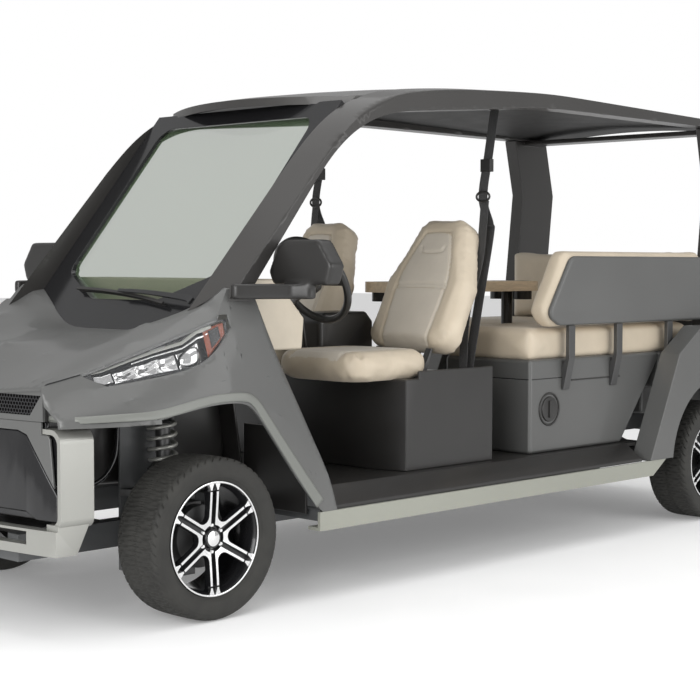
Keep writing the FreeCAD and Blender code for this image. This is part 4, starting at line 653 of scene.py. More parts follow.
class Workshop:
    """Turns shapes into finished pieces that ride on the cart.

    Faces that bend by less than level are joined. A relaxed skin halves its long edges at most halvings
    times and keeps edges that bend by more than hold sharp. Along such an edge a point stays where the two
    steps of length 1 to its neighbours add up to more than corner_turn; on a straight line they add up to 0.
    """

    level: float = math.radians(0.4)
    halvings: int = 7
    corner_turn: float = 0.55
    hold: float = math.radians(38.0)

    def __init__(self, dresser: Dresser) -> None:
        """Keep the finishes at hand."""
        self.dresser = dresser

    def finish(self, piece: bpy.types.Object, slot: str, body: str, bevel: float, angle: float,
               segments: int = 2) -> bpy.types.Object:
        """Smooth a piece's faces but its sharp edges, soften those, dress it and set it on its body."""
        mesh, limit = piece.data, math.radians(angle)
        mesh.shade_smooth()
        mesh.set_sharp_from_angle(angle=limit)
        if bevel:
            modified(piece, "BEVEL", width=bevel, segments=segments, limit_method="ANGLE", angle_limit=limit,
                     harden_normals=True)
        self.dresser.dress(piece, slot)
        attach(piece, body)
        LOG.info("piece %s: %d faces, %s, rides on %s", piece.name, len(mesh.polygons), slot, body)
        return piece

    def piece(self, name: str, shape: Shape, slot: str, body: str = "chassis", bevel: float = 0.0,
              angle: float = 35.0, solid: float = 0.0) -> bpy.types.Object:
        """Make a piece of a shape that is counted from the front axle.

        Args:
            name: The piece's name.
            shape: Its surface.
            slot: The finish's slot.
            body: The body that it rides on.
            bevel: The width of its softened edges, or 0.
            angle: Edges that bend by more than this many degrees stay sharp.
            solid: The wall's thickness where the shape is a sheet, or 0.

        Returns:
            The new object.
        """
        piece = placed(name, mesh_of(name, shape))
        if solid:
            modified(piece, "SOLIDIFY", thickness=solid, offset=-1.0)
        return self.finish(piece, slot, body, bevel, angle)

    def refined(self, node: str, bevel: float = 0.003, angle: float = 30.0, slot: str = "",
                tint: tuple[str, Rule] | None = None, relax: int = 0, reach: float = 0.022,
                segments: int = 2) -> bpy.types.Object:
        """Stand a softened copy in for a CAD node.

        Args:
            node: The CAD node's name.
            bevel: The width of its rounded edges.
            angle: Edges that bend by more than this many degrees are rounded.
            slot: Another slot for its finish, or the node's own.
            tint: A second finish and the rule that picks its faces from their middles and normals.
            relax: Rounds of smoothing, for skins that are made of flat strips.
            reach: The longest edge that a relaxed skin keeps.
            segments: Steps in each rounded edge.

        Returns:
            The copy.
        """
        mesh = frame["nodes"][node].data.copy()
        mesh.name = node + "_skin"
        close(mesh)
        mesh.materials.clear()
        piece = placed(mesh.name, mesh)
        self.finish(piece, slot or SLOT_OF[node], BODY_OF[node], bevel, angle, segments)
        if tint is not None:
            self.tint(mesh, *tint)
        close(mesh, self.level)
        if relax:
            self.relax(mesh, relax, reach)
            mesh.set_sharp_from_angle(angle=math.radians(angle))
        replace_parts(piece, node)
        return piece

    def tint(self, mesh: bpy.types.Mesh, finish: str, rule: Rule) -> None:
        """Give a second finish to the faces that a rule picks."""
        middles = vectors(mesh.polygons, "center") - (0.0, AXLE_Y, 0.0)
        normals = vectors(mesh.polygons, "normal")
        mesh.materials.append(self.dresser.materials[finish])
        mesh.polygons.foreach_set("material_index", rule(middles, normals).astype(np.int32))

    def relax(self, mesh: bpy.types.Mesh, rounds: int, reach: float) -> None:
        """Smooth a skin that is made of flat strips, and keep its sharp edges.

        Long edges are halved until none is longer than the reach. Each round moves a point halfway
        to the mean of its neighbours. A point on a sharp edge only follows its two neighbours along
        that edge, and a corner stays.

        Args:
            mesh: The mesh, which is changed.
            rounds: How many times the points move.
            reach: The longest edge that is kept.
        """
        work = bmesh.new()
        work.from_mesh(mesh)
        bmesh.ops.triangulate(work, faces=work.faces)
        for _ in range(self.halvings):
            long = [edge for edge in work.edges if edge.calc_length() > reach]
            if not long:
                break
            bmesh.ops.subdivide_edges(work, edges=long, cuts=1)
            bmesh.ops.triangulate(work, faces=[face for face in work.faces if len(face.verts) > 3])
        work.verts.index_update()
        points = np.array([vertex.co[:] for vertex in work.verts])
        edges = np.array([(edge.verts[0].index, edge.verts[1].index) for edge in work.edges])
        sharp = np.array([len(edge.link_faces) != 2 or edge.calc_face_angle(0.0) > self.hold
                          for edge in work.edges])
        ridge = edges[sharp]
        on_ridge = np.bincount(ridge.ravel(), minlength=len(points))
        total = np.zeros_like(points)
        for a, b in (ridge.T, ridge.T[::-1]):
            step = points[b] - points[a]
            np.add.at(total, a, step / np.maximum(np.linalg.norm(step, axis=1, keepdims=True), 1e-9))
        on_ridge[on_ridge == 1] = 0
        corner = (on_ridge > 0) & ((on_ridge != 2) | (np.linalg.norm(total, axis=1) > self.corner_turn))
        free = on_ridge[edges] == 0
        pairs = np.concatenate([edges[free[:, 0]], edges[free[:, 1]][:, ::-1], ridge, ridge[:, ::-1]])
        mover, neighbour = pairs[~corner[pairs[:, 0]]].T
        count = np.bincount(mover, minlength=len(points))
        moving, count = count > 0, np.maximum(count, 1)[:, None]
        for _ in range(rounds):
            mean = np.stack([np.bincount(mover, points[neighbour, i], len(points)) for i in range(3)], -1)
            points[moving] += 0.5 * (mean / count - points)[moving]
        for vertex, place in zip(work.verts, points):
            vertex.co = place
        work.to_mesh(mesh)
        work.free()
        mesh.shade_smooth()


# Wheels


class Corner(Enum):
    """The four wheels: the node name's ending and the side's sign."""

    FRONT_LEFT = ("front_left", 1)
    FRONT_RIGHT = ("front_right", -1)
    REAR_LEFT = ("rear_left", 1)
    REAR_RIGHT = ("rear_right", -1)


@dataclass
class Tyre:
    """Directional road tyre: a smooth sidewall and two rows of slanted blocks on each side of its middle."""

    profile: tuple[Pair, ...] = (
        (0.0800, 0.1926), (0.0835, 0.1938), (0.0905, 0.2030), (0.0930, 0.2044), (0.0985, 0.2150),
        (0.1020, 0.2280), (0.1030, 0.2410), (0.1024, 0.2500), (0.1000, 0.2580), (0.0950, 0.2650),
        (0.0870, 0.2695), (0.0700, 0.2715), (0.0350, 0.2723), (0.0, 0.2725))
    radius: float = 0.2725
    steps: int = 520
    blocks: int = 52
    depth: float = 0.0050
    slant: float = 1.30
    groove: float = 0.0023
    zigzag: float = 0.008
    row_edge: float = 0.050
    shoulder: Pair = (0.2600, 0.006)
    beads: tuple[Pair, ...] = ((0.2150, 0.0012), (0.2470, 0.0010))
    bead_height: float = 0.0008

    def surface(self) -> Shape:
        """Return the outer skin.

        The radius is the profile's, less the groove depth where a point lies in a groove: the middle
        zigzag, the line between the rows, and slanted cuts once in each block's length, which in the
        outer row are shifted by half a block.
        """
        half = smooth_line(self.profile, 36)
        line = np.concatenate([half, half[-2::-1] * (-1, 1)])
        angle = np.arange(self.steps) * (math.tau / self.steps)
        x, radius = line[:, 0][None], line[:, 1][None]
        turn = angle[:, None] * self.blocks / math.tau
        pitch = math.tau * self.radius / self.blocks
        wave = np.abs(np.mod(turn, 1.0) * 2 - 1) - 0.5
        outer = np.abs(x) > self.row_edge
        place = np.mod(turn - self.slant * np.abs(x) / pitch + 0.5 * outer, 1.0)
        cut = (np.abs(place - 0.5) * pitch) < self.groove * (1 + 0.5 * outer)
        middle = np.abs(x - self.zigzag * wave) < self.groove
        ring = np.abs(np.abs(x) - self.row_edge - self.zigzag / 2 * wave) < self.groove * 0.8
        shoulder = np.clip((radius - self.shoulder[0]) / self.shoulder[1], 0, 1)
        reach = radius - (cut | middle | ring) * shoulder * self.depth
        bead = sum(self.bead_height * np.exp(-((radius - place) / width) ** 2) for place, width in self.beads)
        points = np.stack([np.broadcast_to(x, reach.shape) + np.sign(x) * bead, reach * np.cos(angle)[:, None],
                           reach * np.sin(angle)[:, None]], -1)
        return sheet_of(points, wrap_rows=True)


@dataclass
class Rim:
    """Cast wheel: six pairs of thin bright spokes that join their neighbours in rounded webs at the hub."""

    pairs: int = 6
    slot_half: float = 0.0095
    leg: float = 0.0085
    web_round: float = 0.027
    tip_radius: float = 0.157
    web_radius: float = 0.046
    face_x: float = 0.0815
    dish: float = 0.016
    dish_radius: float = 0.18
    spoke_depth: float = 0.024
    proud: float = 0.0006
    skin: float = 0.0015
    flank_grow: float = 0.0012
    flank_start: float = 0.0002
    tooth_depth: float = 0.012
    floor_depths: Pair = (0.034, 0.017)
    cap_radius: float = 0.0255
    cap_top: float = 0.0795
    cap_rise: float = 0.004
    nut_circle: float = 0.0445

    def front(self, points: Array) -> Array:
        """Return X of the wheel's face: it dishes in with the distance left to the rim to the power 1.5."""
        radius = np.linalg.norm(points, axis=-1)
        return self.face_x - self.dish * np.clip(1 - radius / self.dish_radius, 0, 1) ** 1.5

    def web_lines(self, grow: float = 0.0, steps: int = 26) -> tuple[Array, Array]:
        """Return the outer and inner edges of one web, in the wheel's plane.

        The outer edge runs down beside one slot, round the hub and up beside the next slot. The
        inner edge runs down a leg, round an arc that touches both legs, and up the other leg.

        Args:
            grow: How much further out both edges lie.
            steps: Points in each run.

        Returns:
            Two arrays of (u, v) points, u from the hub through the web's middle.
        """
        half = math.pi / self.pairs
        ray, normal = np.array([math.cos(half), math.sin(half)]), np.array([math.sin(half), -math.cos(half)])
        slot, inside = self.slot_half - grow, self.slot_half + self.leg + grow
        near = math.sqrt(self.web_radius ** 2 - slot ** 2)
        run = np.linspace(self.tip_radius + grow, near, steps)[:, None]
        down = ray * run + normal * slot
        start = math.atan2(down[-1, 1], down[-1, 0])
        bend = np.linspace(start, -start, steps)[:, None]
        round_hub = self.web_radius * np.concatenate([np.cos(bend), np.sin(bend)], 1)
        outer = np.concatenate([down, round_hub[1:-1], down[::-1] * (1, -1)])
        turn = self.web_round - grow
        centre = (inside + turn) / math.sin(half)
        touch = math.sqrt(centre ** 2 - (inside + turn) ** 2)
        run = np.linspace(self.tip_radius + grow, touch, steps)[:, None]
        leg = ray * run + normal * inside
        first = math.pi / 2 + half
        sweep = np.linspace(first, math.tau - first, steps)[:, None]
        arc = np.concatenate([centre + turn * np.cos(sweep), turn * np.sin(sweep)], 1)
        inner = np.concatenate([leg, arc[1:-1], leg[::-1] * (1, -1)])
        return outer, inner

    def web(self, grow: float, top: float, bottom: float) -> Shape:
        """Return one web as a closed bar between its two edges, from one depth to another."""
        outer, inner = self.web_lines(grow)
        points = np.stack([np.concatenate([(self.front(line) - depth)[:, None], line], 1) for line, depth in
                           ((outer, bottom), (outer, top), (inner, top), (inner, bottom))], 1)
        shape = sheet_of(points, wrap_columns=True)
        total = len(points) * 4
        shape.caps = [[3, 2, 1, 0], list(range(total - 4, total))]
        return shape

    def tooth(self, side: int) -> Shape:
        """Return one of a pair's two teeth that reach in from the rim's ring."""
        half = math.pi / self.pairs
        middle = side * (self.slot_half + self.leg / 2)
        corners = [(0.1850, middle - 0.0110), (0.1850, middle + 0.0110), (0.1700, middle + 0.0050),
                   (0.1625, middle + 0.0035), (0.1625, middle - 0.0035), (0.1700, middle - 0.0050)]
        spin = np.array([[math.cos(half), -math.sin(half)], [math.sin(half), math.cos(half)]])
        flat = np.array(corners) @ spin.T
        return slab(flat, self.face_x - self.tooth_depth, self.face_x + self.proud, "YZ")

    def around(self, shape: Shape) -> list[Shape]:
        """Return copies of a shape at every web."""
        return [shape.turned(math.tau * index / self.pairs + math.pi / 2 - math.pi / self.pairs)
                for index in range(self.pairs)]

    def bright(self) -> Shape:
        """Return the machined faces: webs, teeth and the ring on the flange."""
        faces = self.around(self.web(0.0, -self.proud, self.skin))
        teeth = [t for side in (1, -1) for t in self.around(self.tooth(side))]
        ring = lathe([(0.0800, 0.1905), (0.0868, 0.1915), (0.0876, 0.1890), (0.0866, 0.1858), (0.0835, 0.1845),
                      (0.0800, 0.1845)], 128, True)
        return joined([*faces, *teeth, ring])

    def dark(self) -> Shape:
        """Return the gloss black body: spoke flanks, slot floors, barrel and hub."""
        flanks = self.around(self.web(self.flank_grow, self.flank_start, self.spoke_depth))
        floor = slab([(0.040, -0.0125), (0.178, -0.0165), (0.178, 0.0165), (0.040, 0.0125)],
                     *(self.face_x - depth for depth in self.floor_depths), "YZ").turned(math.pi / self.pairs)
        barrel = lathe([(-0.0885, 0.1905), (-0.0885, 0.1760), (-0.060, 0.1700), (0.045, 0.1700), (0.0700, 0.1790),
                        (0.0800, 0.1846), (0.0800, 0.1900), (0.0650, 0.1810), (0.045, 0.1755), (-0.060, 0.1755),
                        (-0.0800, 0.1808), (-0.0800, 0.1905)], 128, True)
        hub = lathe([(0.030, 0.0), (0.030, 0.052), (0.052, 0.056), (0.0600, 0.052), (0.0610, 0.036),
                     (0.0700, 0.034), (0.0740, 0.0315), (0.0740, 0.0255), (0.0715, 0.0)], 64)
        return joined([*flanks, *self.around(floor), barrel, hub])

    def cap(self) -> Shape:
        """Return the domed centre cap: its height falls by the square of the radius."""
        edge = self.cap_radius
        dome = [(self.cap_top - self.cap_rise * (r / edge) ** 2, r) for r in np.linspace(edge, 0.0, 12)]
        return lathe([(0.0700, edge), (0.0740, 0.0258), *dome], 64)

    def nuts(self) -> Shape:
        """Return the wheel nuts: six-sided cones in the ends of the slots."""
        nut = lathe([(0.052, 0.0), (0.052, 0.0105), (0.066, 0.0095), (0.0695, 0.0055), (0.0695, 0.0)], 6)
        nut = nut.moved((0, 0, self.nut_circle)).turned(-math.pi / 2 + math.pi / self.pairs)
        return joined(self.around(nut))


@dataclass
class Wheels:
    """The four dressed wheels."""

    tyre: Tyre = field(default_factory=Tyre)
    rim: Rim = field(default_factory=Rim)

    def build(self, shop: Workshop) -> None:
        """Build each wheel about its hub and stand it in for its two nodes."""
        parts = (("tread", self.tyre.surface(), "tyre", "tyre_"),
                 ("rim_face", self.rim.bright(), "wheel_silver", ""),
                 ("rim_body", self.rim.dark(), "wheel_black", "rim_"),
                 ("cap", self.rim.cap(), "chrome", ""), ("nuts", self.rim.nuts(), "chrome", ""))
        for corner in Corner:
            ending, sign = corner.value
            low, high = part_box("tyre_" + ending)
            hub = ((low.x + high.x) / 2, (low.y + high.y) / 2 - AXLE_Y, (low.z + high.z) / 2)
            for label, shape, slot, replaced in parts:
                piece = shop.piece(f"{label}_{ending}", shape.scaled((sign, 1, 1)).moved(hub), slot,
                                   "wheel_" + ending, angle=40.0)
                if replaced:
                    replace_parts(piece, replaced + ending)


# Front end


NOSE_TIP, NOSE_DEPTH, NOSE_HALF = -0.603, 0.088, 0.745


def nose_y(x: Array | float, inset: float = 0.0) -> Array | float:
    """Return the nose's arc seen from above: its place falls back by the square of X."""
    return NOSE_TIP + inset + NOSE_DEPTH * (np.asarray(x) / NOSE_HALF) ** 2


@dataclass
class LampLines:
    """The headlamp's upper and lower outlines as points from its tip to its heel."""

    top: tuple[Triple, ...] = (
        (0.545, -0.428, 0.830), (0.560, -0.345, 0.858), (0.578, -0.263, 0.888), (0.598, -0.172, 0.918),
        (0.615, -0.073, 0.944), (0.625, -0.017, 0.986), (0.640, 0.071, 1.001), (0.652, 0.105, 1.002))
    foot: tuple[Triple, ...] = (
        (0.549, -0.428, 0.826), (0.595, -0.358, 0.794), (0.620, -0.272, 0.810), (0.642, -0.183, 0.826),
        (0.672, -0.036, 0.843), (0.676, 0.0, 0.852), (0.668, 0.055, 0.912), (0.656, 0.105, 0.966))
    inwards: Pair = (-0.80, -0.60)

    def at(self, place: Array, share: Array, inset: float) -> Array:
        """Return points inside the lens.

        Both outlines are read at the place along the cart. The point lies between them by its share
        and then moves in, square to the line that joins them.

        Args:
            place: Places along the cart.
            share: 0 on the upper outline, 1 on the lower one.
            inset: How far behind the lens the points lie.

        Returns:
            The points, one for each place.
        """
        top, foot = np.array(self.top), np.array(self.foot)
        upper = np.stack([np.interp(place, top[:, 1], top[:, i]) for i in (0, 2)], -1)
        lower = np.stack([np.interp(place, foot[:, 1], foot[:, i]) for i in (0, 2)], -1)
        flat = upper + (lower - upper) * share[..., None] + np.array(self.inwards) * inset
        return np.stack([flat[..., 0], place, flat[..., 1]], -1)


@dataclass
class Headlamps:
    """Swept lamps: a black housing, a ribbed bright reflector, a projector, a light strip and an amber end."""

    lines: LampLines = field(default_factory=LampLines)
    outwards: Triple = (0.75, -0.15, 0.55)
    wall: float = 0.0015
    bowls: int = 3
    bowl_depth: float = 0.016
    bowl_rib: float = 0.0008
    ridges: int = 26
    ridge: float = 0.0015
    lens_rise: float = 0.024

    def patch(self, start: float, end: float, top: float, bottom: float, inset: float,
              relief: Rule | None = None, rows: int = 60, columns: int = 16) -> Shape:
        """Return a sheet behind the lens between two places and two shares of the lamp's height.

        Args:
            start: Its first place along the cart.
            end: Its last place along the cart.
            top: Its upper edge's share of the lamp's height, counted from the top.
            bottom: Its lower edge's share.
            inset: How far it lies behind the lens.
            relief: How far each point stands out, from its shares along and down the sheet.
            rows: Points along it.
            columns: Points down it.

        Returns:
            The sheet.
        """
        along = np.linspace(start, end, rows)[:, None] * np.ones(columns)
        share = np.linspace(top, bottom, columns)[None] * np.ones((rows, 1))
        points = self.lines.at(along, share, inset)
        if relief is not None:
            rise = relief((along - start) / (end - start), (share - top) / (bottom - top))
            points = points + rise[..., None] * np.array(self.outwards)
        return sheet_of(points)

    def build(self, shop: Workshop) -> None:
        """Build the insides of both lamps."""
        def bowls(u: Array, v: Array) -> Array:
            """Hollows side by side, each a round dip, with fine ribs across."""
            cell = np.mod(u * self.bowls, 1.0) - 0.5
            dip = np.clip(1 - 4 * cell ** 2 - 2.2 * (v - 0.5) ** 2, 0, 1)
            return self.bowl_rib * np.sin(v * 70) - self.bowl_depth * dip

        def ribs(u: Array, v: Array) -> Array:
            """Fine ridges across the strip."""
            return self.ridge * np.abs(np.mod(u * self.ridges, 1.0) - 0.5)

        def bulge(u: Array, v: Array) -> Array:
            """A round lens: the root of one less the square of the distance from its middle."""
            return self.lens_rise * np.clip(1 - (2 * u - 1) ** 2 - (2 * v - 1) ** 2, 0, 1) ** 0.5

        parts = [
            ("lamp_housing", self.patch(-0.424, 0.102, 0.0, 1.0, 0.040), "gloss_black"),
            ("lamp_bezel", joined([self.patch(-0.427, 0.096, 0.0, 0.085, 0.011, None, 40, 4),
                                   self.patch(-0.35, 0.096, 0.90, 1.0, 0.011, None, 40, 4),
                                   self.patch(0.088, 0.098, 0.06, 1.0, 0.013, rows=4),
                                   self.patch(-0.427, -0.392, 0.0, 1.0, 0.008, rows=8)]), "gloss_black"),
            ("lamp_reflector", self.patch(-0.320, -0.105, 0.40, 0.86, 0.022, bowls, 72, 22), "chrome"),
            ("lamp_wedge", self.patch(-0.385, -0.328, 0.34, 0.78, 0.018, ribs, 30, 8), "chrome"),
            ("lamp_projector", self.patch(-0.092, -0.012, 0.36, 0.90, 0.030, bulge, 30, 30), "chrome"),
            ("lamp_light_strip", self.patch(-0.392, 0.040, 0.09, 0.20, 0.013, ribs, 120, 5), "bumper_silver"),
            ("lamp_inner_strip", self.patch(-0.255, 0.030, 0.27, 0.31, 0.016, ribs, 90, 4), "chrome"),
            ("lamp_amber", self.patch(0.006, 0.086, 0.14, 0.84, 0.016, ribs, 30, 12), "amber_lens"),
            ("lamp_amber_core", self.patch(0.026, 0.066, 0.24, 0.74, 0.0145, ribs, 12, 12), "gloss_black"),
        ]
        for name, shape, slot in parts:
            shop.piece(name, both_sides(shape), slot, angle=50.0, solid=self.wall)


@dataclass
class Grille:
    """Honeycomb mesh that follows the nose's arc, with a plain plate at its middle."""

    pitch: float = 0.0135
    wall: float = 0.0022
    depth: float = 0.008
    half: float = 0.505
    low: float = 0.704
    high: float = 0.768
    inset: float = 0.013
    row_step: float = 0.866
    plate_half: float = 0.052
    plate_height: float = 0.044
    plate_thickness: float = 0.006
    plate_place: Pair = (0.006, 0.737)

    def cells(self) -> Shape:
        """Return the rings of the honeycomb: each is a hexagon with a smaller one cut out of it."""
        rows = int((self.high - self.low) / (self.pitch * self.row_step)) + 2
        columns = int(2 * self.half / self.pitch) + 1
        column, row = np.meshgrid(np.arange(columns), np.arange(rows))
        x = (-self.half + (column + 0.5 * (row % 2)) * self.pitch).ravel()
        z = (self.low + row * self.pitch * self.row_step).ravel()
        keep = (np.abs(x) < self.half - self.pitch) & (z < self.high)
        centres = np.stack([x, z], -1)[keep]
        rings, sides = 3, 6
        angle = np.arange(sides) * math.pi / 3 + math.pi / 6
        ring = np.stack([np.cos(angle), np.sin(angle)], -1)
        outer, inner = ring * self.pitch / math.sqrt(3), ring * (self.pitch / math.sqrt(3) - self.wall)
        flat = np.stack([outer, inner, inner], 0)[None] + centres[:, None, None]
        points = np.empty((len(centres), rings, sides, 3))
        points[..., 0], points[..., 2] = flat[..., 0], flat[..., 1]
        points[..., 1] = nose_y(flat[..., 0], self.inset) + np.array([0.0, 0.0, self.depth])[None, :, None]
        cell = grid_faces(rings, sides, wrap_columns=True)
        quads = (cell[None] + np.arange(len(centres))[:, None, None] * rings * sides).reshape(-1, 4)
        return Shape(points.reshape(-1, 3), quads)

    def build(self, shop: Workshop) -> None:
        """Build the mesh and the plain plate."""
        shop.piece("grille_mesh", self.cells(), "gloss_black", angle=20.0)
        across = np.linspace(-self.plate_half, self.plate_half, 12)
        inset, height = self.plate_place
        path = np.stack([across, nose_y(across, inset), np.full(12, height)], -1)
        plate = swept(path, flat_section(self.plate_thickness, self.plate_height))
        shop.piece("grille_plate", plate, "bumper_silver", bevel=0.002)


@dataclass
class CoilSprings:
    """Silver coil springs over the dampers of the front wheels, with their seats."""

    radius: float = 0.046
    wire: float = 0.0068
    turns: float = 5.0
    low: Triple = (0.4270, 0.0, 0.490)
    high: Triple = (0.4150, 0.0, 0.668)
    seat_gap: float = 0.012
    damper_gap: float = 0.020

    def build(self, shop: Workshop) -> None:
        """Build the coils: a helix whose radius stays the same and whose height grows with the angle."""
        angle = np.linspace(0, math.tau * self.turns, 260)
        share = angle / angle[-1]
        low, high = np.array(self.low), np.array(self.high)
        spine = low + (high - low) * share[:, None]
        path = spine + np.stack([np.cos(angle), np.sin(angle), np.zeros_like(angle)], -1) * self.radius
        coil = swept(path, round_section(self.wire, 10))
        collar = lathe([(0.0, 0.030), (0.0, 0.056), (0.006, 0.058), (0.010, 0.050), (0.030, 0.034),
                        (0.030, 0.030)], 40, True).turned(-math.pi / 2, "Y")
        lower = collar.moved(low - (0, 0, self.seat_gap))
        upper = collar.scaled((1, 1, -1)).moved(high + (0, 0, self.seat_gap))
        damper = lathe([(0.0, 0.0), (0.0, 0.024), (0.17, 0.024), (0.18, 0.012), (0.18, 0.0)], 24)
        damper = damper.turned(-math.pi / 2, "Y").moved(low - (0, 0, self.damper_gap))
        for name, parts, slot in (("coil_springs", [coil], "bumper_silver"),
                                  ("spring_seats", [lower, upper, damper], "steel_dark")):
            shop.piece(name, both_sides(joined(parts)), slot, angle=40.0)


@dataclass
class Windscreen:
    """The wiper parked on the glass.

    The glass's foot and top are given as places along the cart and heights. The direction over points out of
    the glass, and along points up it.
    """

    foot: Pair = (0.060, 0.934)
    top: Pair = (0.760, 1.785)
    over: Triple = (0, -0.77, 0.63)
    along: Triple = (0, 0.63, 0.77)
    blade_half: float = 0.277
    blade_heights: Pair = (1.030, 1.074)
    blade_bow: float = 0.010
    pivot: Pair = (0.445, 1.030)
    pivot_lean: float = -0.85

    def on_glass(self, x: Array, height: Array, proud: float = 0.0) -> Array:
        """Return points on the glass at a height: its place along the cart grows with the height."""
        (y0, z0), (y1, z1) = self.foot, self.top
        lean = math.atan2(z1 - z0, y1 - y0)
        y = y0 + (height - z0) * (y1 - y0) / (z1 - z0)
        return np.stack([x, y - proud * math.sin(lean), height + proud * math.cos(lean)], -1)

    def build(self, shop: Workshop) -> None:
        """Build the wiper: a rubber blade, its rail, the arm and its pivot."""
        count, half = 40, self.blade_half
        x = np.linspace(half, -half, count)
        height = np.interp(-x, (-half, half), self.blade_heights) + self.blade_bow * (1 - (x / half) ** 2)
        rail = swept(self.on_glass(x, height, 0.022), flat_section(0.012, 0.007), up=self.over)
        blade = swept(self.on_glass(x, height, 0.010), flat_section(0.020, 0.004), up=self.along)
        line = smooth_line([self.pivot, (0.400, 1.040), (0.180, 1.056), (0.0, 1.062)], count)
        arm = swept(self.on_glass(*line.T, 0.036), flat_section(0.022, 0.010), up=self.over,
                    scale=np.linspace(1.2, 0.6, count))
        pivot = lathe([(0.0, 0.0), (0.0, 0.022), (0.030, 0.020), (0.038, 0.012), (0.038, 0.0)], 32)
        pivot = pivot.turned(-math.pi / 2, "Y").turned(self.pivot_lean, "X")
        place = self.on_glass(*np.array(self.pivot)[:, None], 0.004)[0]
        shop.piece("wiper_blade", joined([rail, blade]), "black_plastic", bevel=0.0015)
        shop.piece("wiper_arm", joined([arm, pivot.moved(place)]), "gloss_black", bevel=0.002)


@dataclass
class Mirrors:
    """Silvered glass in the back of each door mirror, with a dark rim round it."""

    low: float = 1.130
    high: float = 1.250
    inner: float = 0.640
    outer: float = 0.880
    back: float = 0.4065
    voxel: float = 0.007

    def housings(self, shop: Workshop) -> None:
        """Round the mirrors' solids: a fine remesh and then smoothing."""
        mesh = frame["nodes"]["mirrors"].data.copy()
        close(mesh)
        piece = placed("mirror_housings", mesh)
        modified(piece, "REMESH", mode="VOXEL", voxel_size=self.voxel)
        modified(piece, "SMOOTH", factor=0.6, iterations=9)
        Upholstery.apply(piece)
        shop.finish(piece, "black_plastic", "chassis", 0.0, 60.0)
        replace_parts(piece, "mirrors")

    def build(self, shop: Workshop) -> None:
        """Build the housings, and a pane and its rim for both mirrors."""
        self.housings(shop)
        outline = [(self.inner, self.low + 0.02), (self.inner + 0.03, self.high), (self.outer - 0.05, self.high),
                   (self.outer, self.low + 0.05), (self.outer - 0.02, self.low), (self.inner + 0.02, self.low)]
        pane = slab(outline, self.back - 0.004, self.back, "XZ")
        loop = loop_of([(x, self.back, z) for x, z in outline], 8)
        rim = swept(loop, round_section(0.005, 8), up=(0, 1, 0), closed=True)
        for name, shape, slot in (("mirror_panes", pane, "mirror"), ("mirror_rims", rim, "gloss_black")):
            shop.piece(name, both_sides(shape), slot)


# Seats


